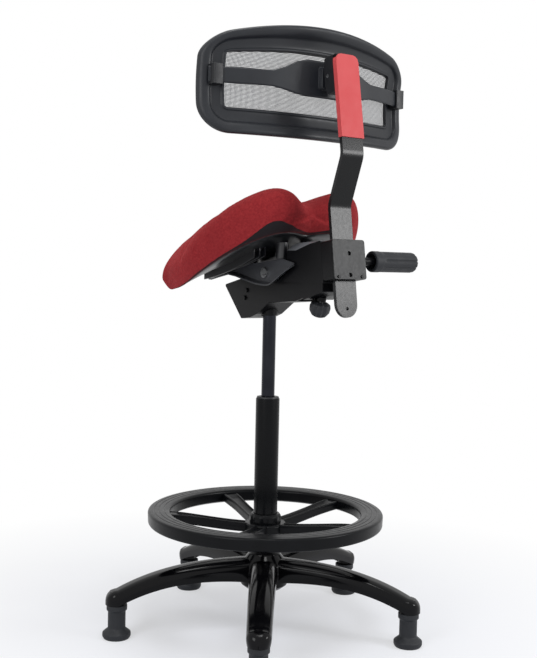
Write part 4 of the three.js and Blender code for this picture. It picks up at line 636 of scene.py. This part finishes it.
SEAT = {"half_wide": 197.5, "half_long": 187, "middle": -13, "height": 786, "rise": 62.5, "from": -163, "to": 162}
SEAT |= {"droop": 105, "power": 1.42, "thick": 93, "front_thin": 0.25, "edge": 0.35, "bulge": 0.47}
SEAT |= {"valley": 35.5, "valley_wide": 55, "pan_share": 0.82, "pan_thick": 8, "hang": 0.085}
SEAT |= {"lined_to": -0.075, "rise_x": 95, "rise_y": 150, "rise_reach": 45, "rise_share": 0.19}
SEAT_OUTLINE = [
    (0, 0.86), (0.16, 0.915), (0.33, 0.955), (0.53, 0.895), (0.73, 0.7), (0.9, 0.42),
    (0.99, 0.05), (0.95, -0.35), (0.87, -0.7), (0.8, -0.92), (0.48, -1), (0, -1.02),
]  # fmt: skip


def seat_outline(angle):
    """The plan outline's point in each direction round the middle, as (x, y) in millimetres."""
    right = np.array(SEAT_OUTLINE) * [SEAT["half_wide"], SEAT["half_long"]]
    whole = np.concatenate([right, right[-2:0:-1] * [-1, 1]])
    line = eased(whole, 24, closed=True)
    around = np.unwrap(np.arctan2(line[:, 1], line[:, 0]))
    radius = np.hypot(line[:, 0], line[:, 1])
    order = np.argsort(around % (2 * np.pi))
    r = np.interp(angle % (2 * np.pi), (around % (2 * np.pi))[order], radius[order], period=2 * np.pi)
    return r * np.cos(angle), r * np.sin(angle)


def seat_rise(y):
    return (y - SEAT["from"]) / (SEAT["to"] - SEAT["from"])


def saddle(x, y):
    """The surface that pan and cushion share: it rises to the rear by t|t| and falls to the sides in front."""
    t = seat_rise(y)
    fall = SEAT["droop"] * (1 - t) * np.abs(x / SEAT["half_wide"]) ** SEAT["power"]
    return SEAT["height"] + SEAT["rise"] * t * np.abs(t) - fall


def cushion_height(x, y):
    """Thickness over the saddle: thinner in front, with a valley between the two rear lobes."""
    t = smooth((seat_rise(y) - 0.35) / 0.65)
    crease = SEAT["valley"] * t * np.exp(-((x / SEAT["valley_wide"]) ** 2))
    front = np.clip((SEAT["middle"] - y) / SEAT["half_long"], 0, 1)
    return SEAT["thick"] * (1 - SEAT["front_thin"] * front**2) - crease


def meridian():
    """The cushion's half section from the middle of its top to the middle of its underside, as (share, height)."""
    line = [(0.0, 1.0), (0.17, 1.0), (0.32, 1.0), (0.46, 1.0), (0.6, 1.0)]
    for angle in (72, 50, 24, -4, -36):
        a = math.radians(angle)
        share = 1 - SEAT["edge"] * (1 - math.cos(a) ** 0.85)
        low = SEAT["bulge"]
        if angle < 0:
            line.append((mix(1, share, 0.5), low * (1 + math.sin(a))))
        else:
            line.append((share, low + (1 - low) * math.sin(a) ** 0.92))
    pan, hang = SEAT["pan_share"], SEAT["hang"]
    line += [(mix(pan, 1, 0.5), -hang), (pan + 0.016, -hang * 0.85)]
    return np.concatenate([eased(line, 16), [(pan, 0.0), (pan * 0.7, 0.0), (pan * 0.4, 0.0), (0.0, 0.0)]])


def disc_grid(count):
    """A square grid pressed into a disc, with even quads: x = a sqrt(1 - b2/2), y = b sqrt(1 - a2/2)."""
    a, b = np.meshgrid(np.linspace(-1, 1, count), np.linspace(-1, 1, count), indexing="ij")
    x, y = a * np.sqrt(1 - b**2 / 2), b * np.sqrt(1 - a**2 / 2)
    return np.hypot(x, y), np.arctan2(y, x)


def lined_border(x, y):
    """How far up the cushion's side its lining reaches: a small bell under each rear lobe, as a share of its height."""
    off = np.hypot(np.abs(x) - SEAT["rise_x"], y - SEAT["rise_y"]) / SEAT["rise_reach"]
    return SEAT["lined_to"] + SEAT["rise_share"] * np.exp(-(off**2))


def cushion_shells(count, shrink):
    """The top and the underside of the cushion over the same disc of quads, joined at the widest ring. A point is
    lined inside the lowest ring, and outside it up to the lining's border."""
    line = meridian()
    scaled = line * [200, 93]
    run = np.concatenate([[0], np.cumsum(np.hypot(*np.diff(scaled, axis=0).T))])
    widest = run[np.argmax(line[:, 0])]
    lowest = run[np.argmin(line[:, 1])]
    radius, angle = disc_grid(count)
    shells, patterns, linings = [], [], []
    for side, start, stop in (("top", 0, widest), ("under", run[-1], widest)):
        at = mix(start, stop, np.clip(radius, 0, 1))
        share = np.interp(at, run, line[:, 0])
        height = np.interp(at, run, line[:, 1])
        ox, oy = seat_outline(angle)
        x = ox * share * (1 - shrink * (share > SEAT["pan_share"]))
        y = oy * share * (1 - shrink * (share > SEAT["pan_share"])) + SEAT["middle"]
        z = saddle(x, y) + 0.3 + cushion_height(x, y) * height * (1 - shrink)
        shells.append(Shell(np.stack([x, y, z], -1), columns_closed=False, sheet=True))
        reach = np.abs(at - start)
        patterns.append(np.stack([reach * np.cos(angle), reach * np.sin(angle)], -1).reshape(-1, 2) * MM)
        side_lined = np.clip((lined_border(x, y) - height) / 0.03 + 0.5, 0, 1)
        linings.append(np.where(at > lowest, 1.0, side_lined).ravel())
    return shells, patterns, linings


def swell(piece, pinned, cap):
    """Cloth under pressure: the pinned points stay, the others swell, and none moves more than cap."""
    before = np.zeros(len(piece.data.vertices) * 3)
    piece.data.vertices.foreach_get("co", before)
    before = before.reshape(-1, 3)
    group = piece.vertex_groups.new(name="held")
    group.add([int(i) for i in np.nonzero(pinned)[0]], 1.0, "REPLACE")
    cloth = piece.modifiers.new("cloth", "CLOTH")
    settings = cloth.settings
    settings.vertex_group_mass = "held"
    settings.use_pressure = True
    settings.uniform_pressure_force = 4.0
    settings.quality = 5
    settings.mass = 0.3
    settings.tension_stiffness = 20
    settings.compression_stiffness = 20
    settings.bending_stiffness = 2.0
    settings.effector_weights.gravity = 0.0
    cloth.collision_settings.use_collision = False
    scene = bpy.context.scene
    for step in range(1, 21):
        scene.frame_set(step)
    held = piece.evaluated_get(bpy.context.evaluated_depsgraph_get())
    after = np.zeros(len(before) * 3)
    held.data.vertices.foreach_get("co", after)
    after = after.reshape(-1, 3)
    moved = after - before
    far = np.linalg.norm(moved, axis=1, keepdims=True)
    moved *= np.minimum(1, cap / np.maximum(far, 1e-9))
    piece.modifiers.remove(cloth)
    piece.vertex_groups.remove(group)
    scene.frame_set(1)
    piece.data.vertices.foreach_set("co", (before + moved).ravel())
    piece.data.update()


def cushion():
    count = 121
    shells, patterns, linings = cushion_shells(count, 0.02)
    points, faces, start = [], [], 0
    for shell in shells:
        points.append((shell.points + [0, COLUMN_BACK, 0]) * MM)
        faces += [tuple(int(k) + start for k in f) for f in shell.faces]
        start += len(shell.points)
    points = np.concatenate(points)
    mesh = bpy.data.meshes.new("seat_cushion_cloth")
    mesh.from_pydata(points.tolist(), [], faces)
    layer = mesh.uv_layers.new(name="cloth")
    corner = np.zeros(len(mesh.loops), int)
    mesh.loops.foreach_get("vertex_index", corner)
    layer.data.foreach_set("uv", np.concatenate(patterns)[corner].ravel())
    lining = mesh.attributes.new("lining", "FLOAT", "POINT")
    lining.data.foreach_set("value", np.concatenate(linings))
    bm = bmesh.new()
    bm.from_mesh(mesh)
    bmesh.ops.remove_doubles(bm, verts=bm.verts, dist=1e-5)
    bmesh.ops.recalc_face_normals(bm, faces=bm.faces)
    bm.to_mesh(mesh)
    bm.free()
    piece = bpy.data.objects.new("seat_cushion_cloth", mesh)
    bpy.context.scene.collection.objects.link(piece)
    where = np.zeros(len(mesh.vertices) * 3)
    mesh.vertices.foreach_get("co", where)
    where = where.reshape(-1, 3) / MM - [0, COLUMN_BACK, 0]
    low = where[:, 2] - saddle(where[:, 0], where[:, 1])
    swell(piece, low < 1.0, 7 * MM)
    finer = piece.modifiers.new("finer", "SUBSURF")
    finer.levels = 1
    finer.render_levels = 1
    mesh.shade_smooth()
    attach(piece, "seat")
    wear(piece, CLOTH)
    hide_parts("seat_cushion")
    return piece


cushion()


def seat_pan():
    """The moulded shell under the cushion, with a rolled lip, and its four bosses."""
    share = np.array([0.0, 0.15, 0.3, 0.45, 0.6, 0.72, 0.8, 0.82, 0.82, 0.8, 0.72, 0.6, 0.45, 0.3, 0.15, 0.0])
    down = np.array([0, 0, 0, 0, 0, 0, 0, -1.2, -6.4, -8, -8, -8, -8, -8, -8, -8.0])
    angle = np.linspace(0, 2 * np.pi, 160, endpoint=False)
    ox, oy = seat_outline(angle)
    x = share[:, None] * ox
    y = share[:, None] * oy + SEAT["middle"]
    grid = np.stack([x, y, saddle(x, y) + down[:, None]], -1)
    shells = [Shell(grid)]
    for side in (-31, 31):
        for at in (-118, 84):
            foot = 770 + 0.0985 * at + 0.3 + 0.0985 * 13
            head = saddle(np.array(side), np.array(at)) - 7
            boss = rounded([(0, foot), (13, foot, 1.2), (13, head), (0, head)], 3, closed=False)
            shells.append(Shell(turned(boss, 32) + np.array([side, at, 0])))
    corner = rounded([(-1.3, 0), (1.3, 0), (1.3, -25, 0.6), (-1.3, -25, 0.6)], 3)
    for x in (-83, -70, -57, 57, 70, 83):
        y = np.linspace(-128, 62, 40)[:, None]
        low = saddle(x, y) - 4
        rows = np.stack(np.broadcast_arrays(x + corner[:, 0], y, low + corner[:, 1] * 21 / 25), -1)
        shells.append(Shell(rows, capped=True))
    make_piece("seat_pan_moulded", shells, "seat", PAN, ["seat_pan"], sharp=40)


seat_pan()

# Clamp, grip and bar lean with the bar

LEAN, UPPER_LEAN = 8.2, 9.2
CLAMP_AT = np.array([0, 241, 778])


def leaning(points):
    return tipped(points, LEAN) + CLAMP_AT


def sideways(points):
    """Points with their Z axis laid along -X, for a piece turned round the clamp screw."""
    return np.stack([-points[..., 2], points[..., 1], points[..., 0]], -1)


def clamp_grip():
    """A fluted handle: the radius dips by a narrow cosine bump at each of eight flutes, behind a plain collar."""
    profile = rounded(
        [(8.3, 79), (15, 79), (15, 70), (19.1, 70, 1), (20.6, 71.5, 1), (20.6, 86, 0.8), (20, 87.5, 0.8), (20, 172, 8), (17, 178, 6), (0, 178)], 5, closed=False
    )
    fine = []
    for a, b in zip(profile[:-1], profile[1:]):
        parts = max(1, int(np.hypot(*(b - a)) / 3))
        fine.append(mix(a, b, (np.arange(parts) / parts)[:, None]))
    profile = np.concatenate([*fine, profile[-1:]])
    steps = 128
    grid = turned(profile, steps)
    angle = np.arange(steps) * 2 * np.pi / steps
    flute = np.clip(np.cos(angle * 8), 0.55, 1) - 0.55
    along = smooth((profile[:, 1] - 91) / 3) * (profile[:, 0] > 10)
    radius = np.maximum(profile[:, 0], 1e-3)
    cut = 1 - 1.7 * flute[None, :] / 0.45 * along[:, None] / radius[:, None]
    grid[..., :2] *= cut[..., None]
    bore = Shell(grid)
    make_piece("clamp_grip_moulded", [bore], "grip", RUBBER, ["clamp_grip"], place=lambda p: leaning(sideways(p)))


clamp_grip()


def angle_knob():
    """A lobed knob: seven rounded lobes, deepest half way down."""
    profile = rounded([(5.3, 0), (13, 0, 1), (19.3, -3.6, 3), (21, -10.5, 5), (20, -19.5, 5), (15, -27, 5), (8.4, -30, 2), (0, -30)], 6, closed=False)
    steps = 140
    grid = turned(profile, steps)
    angle = np.arange(steps) * 2 * np.pi / steps
    lobes = 0.5 - 0.5 * np.cos(angle * 7)
    depth = 2.6 * smooth((profile[:, 0] - 10) / 8)
    radius = np.maximum(profile[:, 0], 1e-3)
    grid[..., :2] *= (1 - depth[:, None] * lobes[None, :] ** 3 / radius[:, None])[..., None]
    inside = Shell(grid, sheet=True)
    inside = Shell(np.concatenate([turned([(0, -14)], steps), turned([(5.3, -14)], steps), grid]))
    place = lambda p: tipped(p, -16) + np.array([0, 176, 697])
    make_piece("angle_knob_moulded", [inside], "knob", RUBBER, ["angle_knob"], place=place)


angle_knob()

# Backrest: frame and mesh

BACK = {"half_wide": 248, "half_high": 107, "corner": 56, "crown": 0.36, "border": 49, "z": 1118.5, "y": 138.5}
BACK |= {"sag": 42, "lumbar": 19.5, "lean": math.tan(math.radians(3.6))}


def back_place(x, up, depth):
    """A point of the curved backrest: it bows forward by x2 and back by up2, leans, and its top edge arches."""
    arched = np.where(up > 0, up * (1 - BACK["crown"] * (x / BACK["half_wide"]) ** 2), up)
    bow = BACK["lumbar"] * (arched / BACK["half_high"]) ** 2 - BACK["sag"] * (x / BACK["half_wide"]) ** 2
    y = BACK["y"] + bow + BACK["lean"] * arched + depth
    return np.stack(np.broadcast_arrays(x, y, BACK["z"] + arched), -1)


def rounded_rectangle(count):
    """Evenly spaced points round a rounded rectangle from the top's middle, clockwise, and their outward directions."""
    a, b, corner = BACK["half_wide"] - BACK["corner"], BACK["half_high"] - BACK["corner"], BACK["corner"]
    arc = np.pi / 2 * corner
    lengths = np.array([a, arc, 2 * b, arc, 2 * a, arc, 2 * b, arc, a])
    ends = np.cumsum(lengths)
    s = np.arange(count) / count * ends[-1]
    part = np.searchsorted(ends, s, side="right")
    left = s - np.concatenate([[0], ends])[part]
    quarter = (part // 2) % 4
    turn = np.where(part % 2 == 1, left / corner, 0)
    angle = np.pi / 2 - quarter * np.pi / 2 - turn
    out = np.stack([np.cos(angle), np.sin(angle)], -1)
    straight = np.where(part % 2 == 0, left, 0)
    begin = np.array([(0, 1), (a, 1), (1, b), (1, -b), (a, -1), (-a, -1), (-1, -b), (-1, b), (-a, 1)], float)
    starts = np.array([[0, b + corner], [a, b], [a + corner, b], [a, -b], [a, -b - corner], [-a, -b], [-a - corner, -b], [-a, b], [-a, b + corner]])
    along = np.array([[1, 0], [0, 0], [0, -1], [0, 0], [-1, 0], [0, 0], [0, 1], [0, 0], [1, 0]], float)
    at = starts[part] + along[part] * straight[:, None] + np.where((part % 2 == 1)[:, None], out * corner, 0)
    return at, out


FRAME_SECTION = [
    (0.06, 2), (0.01, 4), (0, 6), (0.03, 12.75), (0.12, 16.5), (0.26, 17), (0.38, 15.6), (0.45, 12), (0.5, 9),
    (0.6, 8.2), (0.86, 8), (0.92, 10.6), (0.97, 11), (1, 10), (1, 2), (0.5, 2),
]  # fmt: skip


def backrest_frame():
    at, out = rounded_rectangle(300)
    section = eased(FRAME_SECTION, 4, closed=True)
    share, depth = section[:, 0], section[:, 1]
    x = at[:, :1] - out[:, :1] * share * BACK["border"]
    up = at[:, 1:] - out[:, 1:] * share * BACK["border"]
    grid = back_place(x, up, np.broadcast_to(depth, x.shape))
    make_piece("backrest_frame_moulded", [Shell(grid, ring=True)], "backrest", FRAME, ["backrest_frame"], sharp=48)


backrest_frame()


def mesh_sheet():
    """The stretched mesh: the frame's outline drawn in towards the middle, on the backrest's curved face."""
    at, _ = rounded_rectangle(200)
    inset = 0.3 * BACK["border"]
    shape = at * (1 - inset / np.array([BACK["half_wide"], BACK["half_high"]]))
    share = np.linspace(0, 1, 30)[:, None]
    x, up = share * shape[:, 0], share * shape[:, 1]
    grid = back_place(x, up, np.full(x.shape, 0.6))
    shell = Shell(grid, sheet=True)
    mesh = bpy.data.meshes.new("mesh_sheet")
    points = (shell.points + [0, COLUMN_BACK, 0]) * MM
    mesh.from_pydata(points.tolist(), [], [tuple(int(k) for k in f) for f in shell.faces])
    layer = mesh.uv_layers.new(name="cloth")
    corner = np.zeros(len(mesh.loops), int)
    mesh.loops.foreach_get("vertex_index", corner)
    layer.data.foreach_set("uv", points[:, [0, 2]][corner].ravel())
    weld(mesh)
    piece = add_piece("mesh_sheet", mesh, "backrest", NET, ["mesh_panel"], sharp=60)


mesh_sheet()

def hexagon(radius):
    corner = [(radius * math.cos(math.radians(60 * k)), radius * math.sin(math.radians(60 * k)), 0.4) for k in range(6)]
    return rounded(corner, 2)


def housing_bolts():
    """Two hexagon heads on each side of the housing, in front of the pivot: a six-sided section that is drawn
    in at its outer end."""
    section = hexagon(5.5)
    shells = []
    for side in (-1, 1):
        for y, z in ((-40, 714), (-47, 698)):
            rows = []
            for out, share in ((0.0, 1.0), (2.6, 1.0), (3.4, 0.86)):
                place = section * share
                rows.append(np.stack([np.full(len(place), side * (32 + out)), y + place[:, 0], z + place[:, 1]], -1))
            shells.append(Shell(np.array(rows), capped=True))
    make_piece("housing_bolt_heads", shells, "lift", PRESSED)


housing_bolts()

# CAD shapes that stay, with rounded edges

for node, finish, bevel in (
    ("mechanism_housing", PRESSED, 0.8),
    # the seat frame's grey is a painted sheen on black steel
    ("seat_frame", PRESSED_PAINTED_SHEEN, 0.6),
    ("back_arm", ARM, 0.9),
    ("arm_gusset", PRESSED, 0.8),
    ("clamp_block", PRESSED, 1.0),
    ("clamp_plate", PLATE, 0.7),
    ("back_bar", BAR, 0.9),
    ("bar_cover", VINYL, 0.8),
    ("pivot_block", MOULDED, 0.9),
    ("backrest_bracket", FRAME, 1.0),
    ("bracket_clip_left", MOULDED, 0.8),
    ("bracket_clip_right", MOULDED, 0.8),
    ("height_lever", BRIGHT, 0.4),
    ("height_lever_paddle", MOULDED, 1.0),
    ("tilt_lever", MOULDED, 1.0),
    ("taper_socket", PRESSED, 0.5),
    ("footring_collet", RING, 0.4),
    ("pivot_pin", BRIGHT, 0.5),
    ("pivot_nut", BRIGHT, 0.5),
    ("clamp_screw", PRESSED, 0.5),
    ("pressure_pad", BRASS, 0.3),
    ("plate_screw_1", PRESSED, 0.3),
    ("plate_screw_2", PRESSED, 0.3),
    ("block_screw_1", BRIGHT, 0.3),
    ("block_screw_2", BRIGHT, 0.3),
    ("angle_screw", BRIGHT, 0.3),
):
    refined(node, finish, bevel)

hidden_steel = ["thrust_bearing", "retaining_clip", "piston_rod", "valve_pin", "backrest_pin"]
hidden_steel += [f"glide_stem_{i}" for i in range(1, 6)] + [f"seat_bolt_{i}" for i in range(1, 5)]
for node in hidden_steel:
    wear(nodes[node], BRIGHT)

# Floor, light and background

FLOOR_RADIUS = 6.0


def add_floor():
    ring = turned([(0.0, 0.0), (FLOOR_RADIUS / MM, 0.0)], 96)
    shell = Shell(ring, sheet=True)
    n = Nodes("pale_floor")
    split = n.add("ShaderNodeSeparateXYZ", Vector=n.place)
    away = n.math("SQRT", n.math("ADD", n.math("POWER", split.outputs[0], 2.0), n.math("POWER", split.outputs[1], 2.0)))
    near = n.spread(away, 0.35, 1.0, 0.0, 1.1)
    n.set(Base_Color=n.blend(near, plain((216, 220, 235)), plain((242, 245, 253))), Roughness=0.9)
    white = n.add("ShaderNodeEmission", Color=(1, 1, 1, 1), Strength=1.0)
    path = n.add("ShaderNodeLightPath")
    mirrored = n.math("MAXIMUM", path.outputs["Is Glossy Ray"], path.outputs["Is Transmission Ray"])
    seen = n.math("MULTIPLY", n.math("MAXIMUM", path.outputs["Is Camera Ray"], mirrored), near)
    mixed = n.add("ShaderNodeMixShader", Fac=seen)
    n.tree.links.new(n.shader.outputs[0], mixed.inputs[1])
    n.tree.links.new(white.outputs[0], mixed.inputs[2])
    n.tree.links.new(mixed.outputs[0], n.tree.nodes["Material Output"].inputs["Surface"])
    mesh = bpy.data.meshes.new("floor")
    mesh.from_pydata((shell.points * MM).tolist(), [], [tuple(int(k) for k in f[::-1]) for f in shell.faces])
    weld(mesh)
    floor = bpy.data.objects.new("floor", mesh)
    bpy.context.scene.collection.objects.link(floor)
    mesh.materials.append(n.material)
    if sum(p.normal.z for p in mesh.polygons) < 0:
        mesh.flip_normals()


add_floor()

MIDDLE = Vector((0, 0.15, 0.75))


def softbox(name, towards, distance, width, height, watts):
    """A soft lamp that faces the stool from a direction."""
    data = bpy.data.lights.new(name, "AREA")
    data.shape = "RECTANGLE"
    data.size, data.size_y = width, height
    data.energy = watts
    lamp = bpy.data.objects.new(name, data)
    direction = Vector(towards).normalized()
    lamp.location = MIDDLE + direction * distance
    lamp.rotation_euler = direction.to_track_quat("Z", "Y").to_euler()
    bpy.context.scene.collection.objects.link(lamp)


softbox("rear_right", (-0.57, 0.79, 0.24), 2.6, 0.85, 0.6, 30)
softbox("overhead", (0.1, 0.2, 1.0), 2.2, 0.5, 1.6, 24)
softbox("left_rear", (0.95, 0.3, 0.35), 2.8, 1.0, 1.4, 24)

world = bpy.data.worlds.new("studio")
world.use_nodes = True
bpy.context.scene.world = world
sky = world.node_tree
path = sky.nodes.new("ShaderNodeLightPath")
seen = sky.nodes.new("ShaderNodeMath")
seen.operation = "MAXIMUM"
sky.links.new(path.outputs["Is Camera Ray"], seen.inputs[0])
shine = sky.nodes.new("ShaderNodeMath")
shine.operation = "MAXIMUM"
sky.links.new(path.outputs["Is Glossy Ray"], shine.inputs[0])
sky.links.new(path.outputs["Is Transmission Ray"], shine.inputs[1])
sky.links.new(shine.outputs[0], seen.inputs[1])
level = sky.nodes.new("ShaderNodeMapRange")
level.inputs["To Min"].default_value = 0.4
level.inputs["To Max"].default_value = 1.0
sky.links.new(seen.outputs[0], level.inputs["Value"])
sky.links.new(level.outputs["Result"], sky.nodes["Background"].inputs["Strength"])
sky.nodes["Background"].inputs["Color"].default_value = (1, 1, 1, 1)

bpy.context.scene.view_settings.view_transform = "Standard"

bpy.context.view_layer.update()
